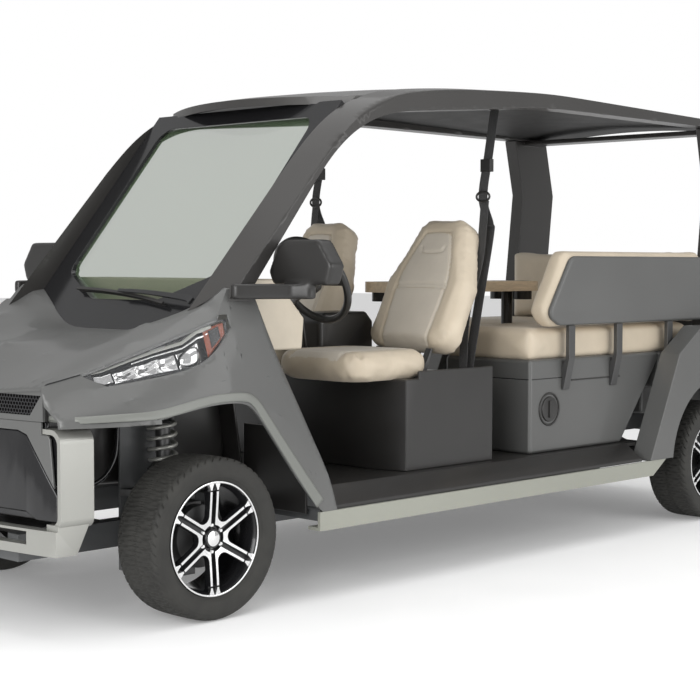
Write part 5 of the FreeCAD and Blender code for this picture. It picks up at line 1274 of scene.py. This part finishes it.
@dataclass
class Upholstery:
    """Foam under vinyl: each cushion is swelled as cloth, then seamed and stitched."""

    voxel: float = 0.011
    pressure: float = 4.0
    quality: int = 4
    frames: int = 10
    fill: float = 0.8
    turned_away: float = 0.25
    facing_span: float = 0.3
    thread: Triple = (0.0026, 0.0007, 0.0007)
    thread_pitch: float = 0.0085
    first_thread: float = 0.004
    ray_height: float = 0.15

    def swelled(self, name: str, source: Shape, cap: float, shrink: float = 0.988) -> bpy.types.Object:
        """Swell a closed solid as cloth and keep its points near where they were.

        Args:
            name: The piece's name.
            source: The closed solid.
            cap: The furthest that a point may move.
            shrink: How much smaller it starts about its middle.

        Returns:
            The swelled object, with one subdivision.
        """
        middle = (source.points.min(0) + source.points.max(0)) / 2
        start = (source.points - middle) * shrink + middle
        piece = placed(name, mesh_of(name, Shape(start, source.quads, source.caps)))
        modified(piece, "REMESH", mode="VOXEL", voxel_size=self.voxel, use_smooth_shade=True)
        self.apply(piece)
        self.simulate(piece, cap)
        self.relax(piece)
        return piece

    @staticmethod
    def apply(piece: bpy.types.Object) -> None:
        """Make a piece's modifiers part of its mesh."""
        shown = piece.evaluated_get(bpy.context.evaluated_depsgraph_get())
        mesh = bpy.data.meshes.new_from_object(shown)
        piece.modifiers.clear()
        old, piece.data = piece.data, mesh
        bpy.data.meshes.remove(old)
        mesh.name = piece.name

    def simulate(self, piece: bpy.types.Object, cap: float) -> None:
        """Run the cloth with air pressure and no weight, then hold each move to a cap."""
        rest = vectors(piece.data.vertices)
        cloth = modified(piece, "CLOTH")
        cloth.settings.use_pressure, cloth.settings.uniform_pressure_force = True, self.pressure
        cloth.settings.quality, cloth.settings.effector_weights.gravity = self.quality, 0.0
        cloth.point_cache.frame_start, cloth.point_cache.frame_end = 1, self.frames
        for number in range(1, self.frames + 1):
            bpy.context.scene.frame_set(number)
        self.apply(piece)
        bpy.context.scene.frame_set(1)
        move = vectors(piece.data.vertices) - rest
        length = np.linalg.norm(move, axis=1, keepdims=True)
        move_points(piece.data, rest + move * np.minimum(1.0, cap / np.maximum(length, 1e-9)))

    @staticmethod
    def relax(piece: bpy.types.Object) -> None:
        """Soften the steps that the remesh left and subdivide once."""
        modified(piece, "SMOOTH", factor=0.5, iterations=5)
        modified(piece, "SUBSURF", levels=1, render_levels=1)
        Upholstery.apply(piece)

    def groove(self, piece: bpy.types.Object, line: Array, axes: tuple[Array, Array], face: Array,
               depth: float, width: float = 0.006) -> None:
        """Press a seam into a cushion.

        Points whose normals look the face's way sink by the depth times e to the minus square of
        their distance from the line over the width.

        Args:
            piece: The cushion.
            line: The seam's points in the frame's own axes.
            axes: The two directions of the plane that the distance is taken in.
            face: The way that the seamed face looks.
            depth: The seam's depth.
            width: Its width.
        """
        points, normals = vectors(piece.data.vertices), vectors(piece.data.vertices, "normal")
        basis = np.stack(axes, -1)
        flat, track = points @ basis, line @ basis
        near = np.full(len(points), np.inf)
        for start, end in zip(track[:-1], track[1:]):
            step = end - start
            share = np.clip(((flat - start) @ step) / max(step @ step, 1e-12), 0, 1)
            near = np.minimum(near, np.linalg.norm(flat - start - share[:, None] * step, axis=1))
        facing = np.clip((normals @ face - self.turned_away) / self.facing_span, 0, 1)
        sink = depth * np.exp(-(near / width) ** 2) * facing
        move_points(piece.data, points - face * sink[:, None])

    def stitches(self, shop: Workshop, name: str, piece: bpy.types.Object, line: Array, face: Array) -> None:
        """Sew short threads along a line on a cushion.

        The line is walked in even steps, and each thread lies where a ray against the face's
        direction meets the cushion.

        Args:
            shop: The workshop.
            name: The new piece's name.
            piece: The cushion.
            line: The seam's points in the frame's own axes.
            face: The way that the seamed face looks.
        """
        skin = skin_of(piece.data)
        thread = block([-half for half in self.thread], self.thread)
        length = np.concatenate([[0], np.cumsum(np.linalg.norm(np.diff(line, axis=0), axis=1))])
        places = np.arange(self.first_thread, length[-1], self.thread_pitch)
        points = np.stack([np.interp(places, length, line[:, i]) for i in range(3)], -1)
        sewn = []
        for point, way in zip(points, np.gradient(points, axis=0)):
            hit = skin.ray_cast(Vector(point + face * self.ray_height), Vector(-face))[0]
            if hit is not None:
                way = way / np.linalg.norm(way)
                turn = np.stack([way, np.cross(face, way), face], -1)
                sewn.append(Shape(thread.points @ turn.T + np.array(hit) - (0.0, AXLE_Y, 0.0), thread.quads,
                                  thread.caps))
        shop.piece(name, both_sides(joined(sewn)), "cream_panel", angle=60.0)

    def settle(self, shop: Workshop, piece: bpy.types.Object, node: str) -> None:
        piece.data.shade_smooth()
        shop.dresser.dress(piece, "cream_vinyl")
        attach(piece, "chassis")
        if node:
            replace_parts(piece, node)
        LOG.info("cushion %s: %d points", piece.name, len(piece.data.vertices))


def node_solids(node: str) -> list[Shape]:
    """Return a CAD node's separate solids, counted from the front axle, as shapes of triangles."""
    work = bmesh.new()
    work.from_mesh(frame["nodes"][node].data)
    bmesh.ops.remove_doubles(work, verts=work.verts, dist=SAME_PLACE)
    work.verts.ensure_lookup_table()
    left, found = set(range(len(work.verts))), []
    while left:
        stack, island = [work.verts[next(iter(left))]], set()
        while stack:
            vertex = stack.pop()
            if vertex.index in island:
                continue
            island.add(vertex.index)
            stack.extend(edge.other_vert(vertex) for edge in vertex.link_edges)
        left -= island
        order = {old: new for new, old in enumerate(sorted(island))}
        points = np.array([work.verts[i].co[:] for i in sorted(island)])
        points[:, 1] -= AXLE_Y
        faces = [[order[v.index] for v in face.verts] for face in work.faces if face.verts[0].index in island]
        found.append(Shape(points, np.zeros((0, 4), int), faces))
    work.free()
    return found


@dataclass
class Seats:
    """Front bucket seats and the rear lounge's cushions and backrests."""

    upholstery: Upholstery = field(default_factory=Upholstery)
    bench_foam: Upholstery = field(default_factory=lambda: Upholstery(voxel=0.014))
    lean: float = math.radians(27)
    back_foot: Pair = (1.297, 0.852)
    seat_x: float = 0.346
    seat_top: float = 0.85
    panel_top: float = 0.512
    panel_half: float = 0.132
    panel_ups: tuple[float, ...] = (0.0, 0.02, 0.16, 0.30, 0.40, 0.497, 0.512)
    panel_halves: tuple[float, ...] = (0.118, 0.120, 0.130, 0.132, 0.108, 0.072, 0.0)
    back_seams: tuple[tuple[Pair, ...], ...] = (
        ((-0.120, 0.02), (-0.130, 0.16), (-0.132, 0.30), (-0.108, 0.40), (-0.072, 0.497), (-0.050, 0.512),
         (0.050, 0.512), (0.072, 0.497), (0.108, 0.40), (0.132, 0.30), (0.130, 0.16), (0.120, 0.02)),
        ((-0.130, 0.272), (0.0, 0.276), (0.130, 0.272)), ((-0.130, 0.258), (0.0, 0.262), (0.130, 0.258)),
        ((-0.062, 0.440), (-0.045, 0.420), (0.045, 0.420), (0.062, 0.440)))
    cushion_seams: tuple[tuple[Pair, ...], ...] = (
        ((-0.130, 0.80), (-0.136, 1.00), (-0.130, 1.22)), ((0.130, 0.80), (0.136, 1.00), (0.130, 1.22)),
        ((-0.200, 0.845), (0.0, 0.835), (0.200, 0.845)))
    swell: float = 0.016
    bench_swell: float = 0.012
    bench_shrink: float = 0.992
    back_seam: float = 0.007
    cushion_seam: float = 0.006
    stitch_scale: Pair = (0.93, 0.96)
    stitch_middle: float = 0.27

    def back_line(self, outline: Sequence[Pair], side: int) -> Array:
        """Return a line drawn on a seat's back: u across it and v up it, on its leaning front face."""
        drawn = smooth_line(outline, 60)
        x = side * self.seat_x + drawn[:, 0]
        y = self.back_foot[0] + drawn[:, 1] * math.sin(self.lean)
        z = self.back_foot[1] + drawn[:, 1] * math.cos(self.lean)
        return on_cart(np.stack([x, y, z], -1))

    def cushion_line(self, outline: Sequence[Pair]) -> Array:
        """Return a line drawn on the left cushion's top: first across it, then along the cart."""
        line = smooth_line(outline, 40)
        return on_cart(np.stack([self.seat_x + line[:, 0], line[:, 1], np.full(40, self.seat_top)], -1))

    def panel_rule(self, label: str, side: int) -> Rule:
        """Return the rule for a seat's smooth middle panel: inside its seam and facing the sitter."""
        def rule(middles: Array, normals: Array) -> Array:
            """Pick the panel's faces from their place across and up the cushion."""
            across = np.abs(middles[:, 0] - side * self.seat_x)
            if label == "back":
                up = ((middles[:, 1] - self.back_foot[0]) * math.sin(self.lean)
                      + (middles[:, 2] - self.back_foot[1]) * math.cos(self.lean))
                wide = np.interp(up, self.panel_ups, self.panel_halves)
                return (across < wide) & (normals[:, 1] < -0.4) & (up < self.panel_top)
            return (across < self.panel_half) & (normals[:, 2] > 0.5)
        return rule

    def front(self, shop: Workshop) -> None:
        """Build both front seats: the left one is swelled and the right one is its mirror image."""
        halves = [s for s in node_solids("front_seats") if s.points[:, 0].mean() > 0]
        halves.sort(key=lambda s: s.points[:, 2].mean())
        across, ahead, above = np.eye(3)
        normal = np.array([0.0, -math.cos(self.lean), math.sin(self.lean)])
        up = np.array([0.0, math.sin(self.lean), math.cos(self.lean)])
        foam = self.upholstery
        for label, solid in zip(("cushion", "back"), halves):
            piece = foam.swelled(f"seat_{label}_left", solid, self.swell)
            if label == "back":
                for seam in self.back_seams:
                    foam.groove(piece, self.back_line(seam, 1), (across, up), normal, self.back_seam)
                wide, tall = self.stitch_scale
                inside = [(x * wide, self.stitch_middle + (v - self.stitch_middle) * tall)
                          for x, v in self.back_seams[0]]
                foam.stitches(shop, "seat_back_stitches", piece, self.back_line(inside, 1), normal)
            else:
                for seam in self.cushion_seams:
                    foam.groove(piece, self.cushion_line(seam), (across, ahead), above, self.cushion_seam)
            twin = piece.data.copy()
            move_points(twin, vectors(twin.vertices) * (-1, 1, 1))
            twin.flip_normals()
            for half, side in ((piece, 1), (placed(f"seat_{label}_right", twin), -1)):
                foam.settle(shop, half, "front_seats" if side == 1 else "")
                shop.tint(half.data, "panel_vinyl", self.panel_rule(label, side))

    def lounge(self, shop: Workshop) -> None:
        """Build the lounge's cushions and backrests, each swelled from its solid."""
        for node, label in (("lounge_cushions", "lounge_cushion"), ("lounge_backrests", "lounge_back")):
            solids = sorted(node_solids(node), key=lambda s: s.points[:, 0].mean())
            for place, solid in zip(("rear", "side"), solids):
                piece = self.bench_foam.swelled(f"{label}_{place}", solid, self.bench_swell, self.bench_shrink)
                self.bench_foam.settle(shop, piece, node if place == "rear" else "")

    def build(self, shop: Workshop) -> None:
        """Build every cushion."""
        self.front(shop)
        self.lounge(shop)


# Belts


@dataclass
class Belts:
    """Webbing of the front seats with its ring, tongue and anchor."""

    x: float = 0.488
    width: float = 0.046
    thickness: float = 0.0022
    main: tuple[Pair, ...] = ((1.700, 1.818), (1.664, 1.640), (1.628, 1.458), (1.668, 1.352), (1.672, 1.300),
                              (1.600, 1.000), (1.545, 0.760))
    lap: tuple[Pair, ...] = ((1.634, 1.440), (1.600, 1.200), (1.520, 0.980), (1.500, 0.760))

    @staticmethod
    def at(x: float, line: Sequence[Pair], count: int) -> Array:
        """Return the points of a smooth line of places along the cart and heights, at one X."""
        run = smooth_line(line, count)
        return np.stack([np.full(count, x), run[:, 0], run[:, 1]], -1)

    def build(self, shop: Workshop) -> None:
        """Build both belts: the straps run from the roof or the ring down behind the seat's back."""
        lines = ((self.main, 90, 0.0, self.width), (self.lap, 50, 0.006, self.width * 0.9))
        straps = joined([swept(self.at(self.x + shift, line, count), flat_section(self.thickness, width),
                               up=(1, 0, 0)) for line, count, shift, width in lines])
        angle = np.linspace(0, math.tau, 40, endpoint=False)
        loop = np.stack([self.x + 0.034 * np.cos(angle), np.full(40, 1.628), 1.458 + 0.020 * np.sin(angle)], -1)
        ring = swept(loop, round_section(0.005, 8), up=(0, 1, 0), closed=True)
        tongue = block((self.x - 0.026, 1.640, 1.560), (self.x + 0.026, 1.664, 1.612))
        anchor = block((self.x - 0.030, 1.680, 1.815), (self.x + 0.030, 1.722, 1.850))
        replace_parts(shop.piece("belt_straps", both_sides(straps), "belt_webbing"), "seat_belts")
        shop.piece("belt_fittings", both_sides(joined([ring, tongue, anchor])), "black_plastic", bevel=0.003)


@dataclass
class Bodywork:
    """Softened copies of the plain CAD parts, so that every edge catches the light."""

    plain: tuple[tuple[str, float], ...] = (
        ("nose_panel", 0.003), ("grille", 0.001), ("fascia_surround", 0.004), ("front_fascia", 0.006),
        ("windscreen_frame", 0.004), ("rear_pillars", 0.012), ("steering_column", 0.003),
        ("steering_wheel", 0.003), ("backrest_brackets", 0.002), ("table", 0.004), ("table_supports", 0.003),
        ("cup_holders", 0.001), ("rear_body", 0.005), ("floor_pan", 0.003), ("rockers", 0.008),
        ("tail_lamps", 0.004), ("chassis_frame", 0.003), ("seat_brackets", 0.002), ("battery_pack", 0.005),
        ("brake_lever", 0.003), ("front_suspension", 0.003), ("rear_axle", 0.004), ("leaf_springs", 0.002),
        ("knuckle_left", 0.003), ("knuckle_right", 0.003), ("windscreen_glass", 0.001))
    moulded: tuple[tuple[str, float, str], ...] = (
        ("seat_base", 0.022, ""), ("centre_console", 0.020, ""), ("lounge_base", 0.016, ""),
        ("dashboard", 0.020, ""), ("front_bumper", 0.009, ""), ("rear_bumper", 0.010, ""),
        ("backrest_shell", 0.016, "body_paint"))

    @staticmethod
    def underneath(middles: Array, normals: Array) -> Array:
        """Pick the faces that look down."""
        return normals[:, 2] < -0.45

    def build(self, shop: Workshop) -> None:
        """Refine every listed node."""
        for node, bevel in self.plain:
            shop.refined(node, bevel)
        for node, bevel, slot in self.moulded:
            shop.refined(node, bevel, slot=slot, segments=5)
        shop.refined("headlamps", 0.0, relax=16)
        shop.refined("hood", 0.0, relax=50)
        for side in ("left", "right"):
            shop.refined("front_fender_" + side, 0.0, slot="body_paint", relax=50)
            shop.refined("rear_fender_" + side, 0.006, segments=3)
            shop.refined("cab_frame_" + side, 0.0, relax=60, reach=0.030)
        shop.refined("roof_panel", 0.0, tint=("lining", self.underneath), relax=40, reach=0.070)


@dataclass
class ArchBands:
    """The lighter bands round the front wheel arches, and the dark joints beside the hood's nose."""

    edge: tuple[Pair, ...] = (
        (-0.560, 0.6830), (-0.400, 0.6850), (-0.250, 0.6860), (-0.150, 0.6990), (-0.060, 0.7155),
        (0.020, 0.7240), (0.110, 0.7220), (0.150, 0.7060), (0.190, 0.6580), (0.260, 0.5640),
        (0.340, 0.4560), (0.432, 0.3330))
    widths: tuple[float, ...] = (0.020, 0.024, 0.028, 0.030, 0.030, 0.030, 0.031, 0.032, 0.033, 0.036,
                                 0.040, 0.044)
    crest: tuple[Triple, ...] = (
        (0.5135, -0.545, 0.795), (0.5195, -0.540, 0.8035), (0.5300, -0.500, 0.8135), (0.5453, -0.432, 0.8300))
    proud: float = 0.0018
    grid: tuple[int, int] = (160, 7)
    smoothings: int = 6
    ray_from: float = 2.0

    def build(self, shop: Workshop) -> None:
        """Build the bands on the fenders' outer faces, found by rays from the side.

        Each band's rows run from the arch's edge, square to it, by its width.
        """
        skin = skin_of(frame["nodes"]["front_fender_left"].data)
        rows, columns = self.grid
        edge = smooth_line(self.edge, rows)
        width = np.interp(np.linspace(0, 1, rows), np.linspace(0, 1, len(self.widths)), self.widths)
        along = np.gradient(edge, axis=0)
        along /= np.linalg.norm(along, axis=1, keepdims=True)
        out = np.stack([-along[:, 1], along[:, 0]], -1)
        flat = edge[:, None] + out[:, None] * (width[:, None] * np.linspace(0.03, 1.0, columns))[..., None]
        points = np.zeros((rows, columns, 3))
        for row, column in np.ndindex(rows, columns):
            y, z = flat[row, column]
            hit = skin.ray_cast(Vector((self.ray_from, y + AXLE_Y, z)), Vector((-1.0, 0.0, 0.0)))[0]
            before = points[row, column - 1, 0] if column else points[max(row - 1, 0), 0, 0]
            points[row, column] = (hit.x + self.proud if hit is not None else before, y, z)
        for _ in range(self.smoothings):
            points[1:-1, :, 0] = (points[:-2, :, 0] + points[1:-1, :, 0] + points[2:, :, 0]) / 3
        band = sheet_of(points)
        shop.piece("arch_bands", both_sides(band), "flare_paint", angle=50.0, solid=0.003)
        joint = swept(smooth_line(self.crest, 30), round_section(0.0022, 8))
        shop.piece("hood_joints", both_sides(joint), "gloss_black")


class Liner:
    """Black mouldings that fill the bay between the front wheels."""

    pipe: tuple[Triple, ...] = ((0.37, -0.42, 0.44), (0.375, -0.25, 0.45), (0.36, -0.16, 0.52),
                                (0.34, -0.13, 0.64), (0.33, -0.12, 0.72))

    def build(self, shop: Workshop) -> None:
        """Build the tub, the boxes in front of it and the pipes beside it."""
        tub = slab([(-0.40, 0.44), (-0.40, 0.74), (-0.30, 0.80), (0.30, 0.84), (0.40, 0.74), (0.40, 0.40)],
                   -0.29, 0.29, "YZ")
        boxes = [block((0.30 * s - 0.05, -0.46, 0.46), (0.30 * s + 0.05, -0.27, 0.64)) for s in (1, -1)]
        shop.piece("bay_tub", joined([tub, *boxes]), "black_plastic", bevel=0.02)
        tray = block((-0.36, -0.50, 0.300), (0.36, -0.22, 0.325))
        flaps = [block((0.495 * s - 0.165, 0.452, 0.300), (0.495 * s + 0.165, 0.462, 0.600)) for s in (1, -1)]
        shop.piece("splash_guards", joined([tray, *flaps]), "black_plastic", bevel=0.004)
        pipes = [swept(smooth_line(self.pipe, 40) * (side, 1, 1), round_section(0.008), up=(side, 0, 0.01))
                 for side in (1, -1)]
        shop.piece("bay_pipes", joined(pipes), "gloss_black")


@dataclass
class RearLamps:
    """Rims and inner lenses of the tail lamps, and a bare plate between them."""

    x: float = 0.560
    ring_half: float = 0.062
    ring_heights: Pair = (0.698, 0.842)
    lens_half: float = 0.050
    amber_heights: Pair = (0.800, 0.830)
    clear_heights: Pair = (0.712, 0.738)

    def build(self, shop: Workshop) -> None:
        """Build each lamp's rim, its amber and clear lenses, and the plate with its four screws."""
        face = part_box("tail_lamps")[1].y - AXLE_Y
        rims, amber, clear = [], [], []
        for x in (self.x, -self.x):
            (low, high), half = self.ring_heights, self.ring_half
            ring = [(x - half, low), (x + half, low), (x + half, high), (x - half, high)]
            loop = loop_of([(a, face - 0.006, b) for a, b in ring], 6)
            rims.append(swept(loop, flat_section(0.008, 0.008), up=(0, 1, 0), closed=True))
            for lenses, (low, high) in ((amber, self.amber_heights), (clear, self.clear_heights)):
                lenses.append(block((x - self.lens_half, face - 0.004, low), (x + self.lens_half, face, high)))
        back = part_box("rear_body")[1].y - AXLE_Y
        plate = block((-0.150, back - 0.006, 0.560), (0.150, back - 0.0005, 0.670))
        screw = lathe([(0.0, 0.0), (0.0, 0.005), (0.002, 0.004), (0.002, 0.0)], 12).turned(math.pi / 2, "Z")
        screws = [screw.moved((x, back - 0.0025, z)) for x in (-0.12, 0.12) for z in (0.585, 0.645)]
        parts = (("tail_rims", rims, "gloss_black"), ("tail_amber", amber, "amber_lens"),
                 ("tail_clear", clear, "bumper_silver"), ("rear_plate", [plate], "bumper_silver"),
                 ("plate_screws", screws, "chrome"))
        for name, shapes, slot in parts:
            shop.piece(name, joined(shapes), slot, bevel=0.001)


@dataclass
class Locker:
    """The lounge locker's lid seam, its round cap and the moulded crease in its side."""

    face: float = 0.596
    cap_place: Pair = (1.945, 0.572)
    cap_radius: float = 0.072

    def build(self, shop: Workshop) -> None:
        """Build the cap as a turned ring and button, and the seams as thin dark strips."""
        edge = self.cap_radius
        ring = lathe([(-0.004, 0.0), (-0.004, edge - 0.011), (0.003, edge - 0.009), (0.005, edge - 0.005),
                      (0.003, edge - 0.001), (-0.006, edge), (-0.010, edge)], 72)
        button = lathe([(0.0, edge - 0.018), (0.005, edge - 0.020), (0.006, edge - 0.024), (0.006, 0.0)], 60)
        grip = block((0.004, -0.010, -0.036), (0.013, 0.010, 0.036))
        place = (self.face, *self.cap_place)
        cap = joined([part.moved(place) for part in (ring, button, grip)])
        shop.piece("locker_cap", cap, "black_plastic", bevel=0.0015)
        seam = [block((self.face - 0.002, 1.826, 0.700), (self.face + 0.0007, 2.060, 0.7035)),
                block((0.140, 1.8145, 0.700), (0.586, 1.817, 0.7035))]
        shop.piece("locker_seam", joined(seam), "gloss_black")
        crease = slab([(2.10, 0.690), (2.46, 0.690), (2.46, 0.684), (2.10, 0.684)], self.face - 0.002,
                      self.face + 0.002, "YZ")
        shop.piece("locker_crease", crease, "black_plastic", bevel=0.0015)


# Studio


@dataclass
class Studio:
    """Pale floor, white surroundings, soft lamps and the camera at the photograph's angle."""

    camera_place: Triple = (4.6417, -3.4170, 1.1857)
    camera_right: Triple = (0.71643, 0.69765, 0.00253)
    camera_up: Triple = (-0.04009, 0.03755, 0.99849)
    lens: float = 81.50
    aim: Triple = (0.0, 0.0, 0.7)
    floor_half: float = 40.0
    floor_glow: float = 0.16
    light_around: float = 0.55
    lamps: list[tuple[str, Triple, float, float]] = field(default_factory=lambda: [
        ("top_lamp", (0.5, 1.6, 6.0), 6.0, 140.0),
        ("front_lamp", (2.6, -6.0, 2.6), 4.5, 330.0),
        ("side_lamp", (7.0, 3.0, 2.4), 5.0, 185.0),
    ])

    def camera(self) -> None:
        """Set the camera from the fitted directions."""
        data = bpy.data.cameras.new("camera")
        data.lens, data.sensor_width, data.clip_end = self.lens, 36.0, 200.0
        camera = placed("camera", data)
        right, up = Vector(self.camera_right).normalized(), Vector(self.camera_up).normalized()
        back = right.cross(up)
        turn = Matrix((right, up, back)).transposed().to_4x4()
        place = Vector(on_cart(np.array(self.camera_place)))
        camera.matrix_world = Matrix.Translation(place) @ turn
        bpy.context.scene.camera = camera

    def light(self) -> None:
        """Hang the soft lamps, each aimed at the middle of the cart."""
        aim = Vector(self.aim)
        for name, place, size, power in self.lamps:
            data = bpy.data.lights.new(name, "AREA")
            data.size, data.energy = size, power
            lamp = placed(name, data)
            lamp.location = Vector(on_cart(np.array(place)))
            lamp.rotation_euler = (aim - lamp.location).to_track_quat("-Z", "Y").to_euler()

    def floor(self) -> None:
        """Lay the pale floor, which looks white where the camera or a mirror sees it."""
        half = self.floor_half
        mesh = bpy.data.meshes.new("floor")
        mesh.from_pydata([(-half, -half, 0), (half, -half, 0), (half, half, 0), (-half, half, 0)], [],
                         [(0, 1, 2, 3)])
        floor = placed("floor", mesh)
        nodes = Nodes("floor_paper")
        grain = nodes.noise(3.0, 3.0)
        nodes.link(nodes.ramp(grain, (0.86, 0.86, 0.86), (0.90, 0.90, 0.90)), "Base Color")
        nodes.set(Roughness=0.9, Emission_Color=(1.0, 1.0, 1.0, 1.0))
        seen = nodes.either("Is Camera Ray", "Is Glossy Ray")
        nodes.link(nodes.spread(seen, 0.0, self.floor_glow), "Emission Strength")
        mesh.materials.append(nodes.material)

    def surroundings(self) -> None:
        """Make the world white to the camera and behind glass, and a softer light to everything else."""
        world = bpy.data.worlds.new("studio")
        tree = Tree(world)
        seen = tree.either("Is Camera Ray", "Is Transmission Ray")
        background = tree.add("Background", {"Color": (1.0, 1.0, 1.0, 1.0),
                                             "Strength": tree.spread(seen, self.light_around, 1.0)})
        tree.add("OutputWorld", {"Surface": background.outputs[0]})
        bpy.context.scene.world = world

    def build(self) -> None:
        """Set the whole studio."""
        self.camera()
        self.light()
        self.floor()
        self.surroundings()
        bpy.context.scene.view_settings.view_transform = "Standard"


def main() -> None:
    """Dress the cart's nodes, build the detailed pieces and set the studio."""
    logging.basicConfig(level=logging.INFO, format="%(name)s: %(message)s")
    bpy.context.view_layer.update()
    dresser = Dresser()
    dresser.dress_nodes()
    shop = Workshop(dresser)
    for assembly in (Wheels(), Bodywork(), Headlamps(), Grille(), CoilSprings(), Windscreen(), Mirrors(),
                     ArchBands(), Liner(), RearLamps(), Locker(), Seats(), Belts()):
        assembly.build(shop)
        LOG.info("%s built", type(assembly).__name__)
    Studio().build()
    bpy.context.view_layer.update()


if __name__ == "__main__":
    main()
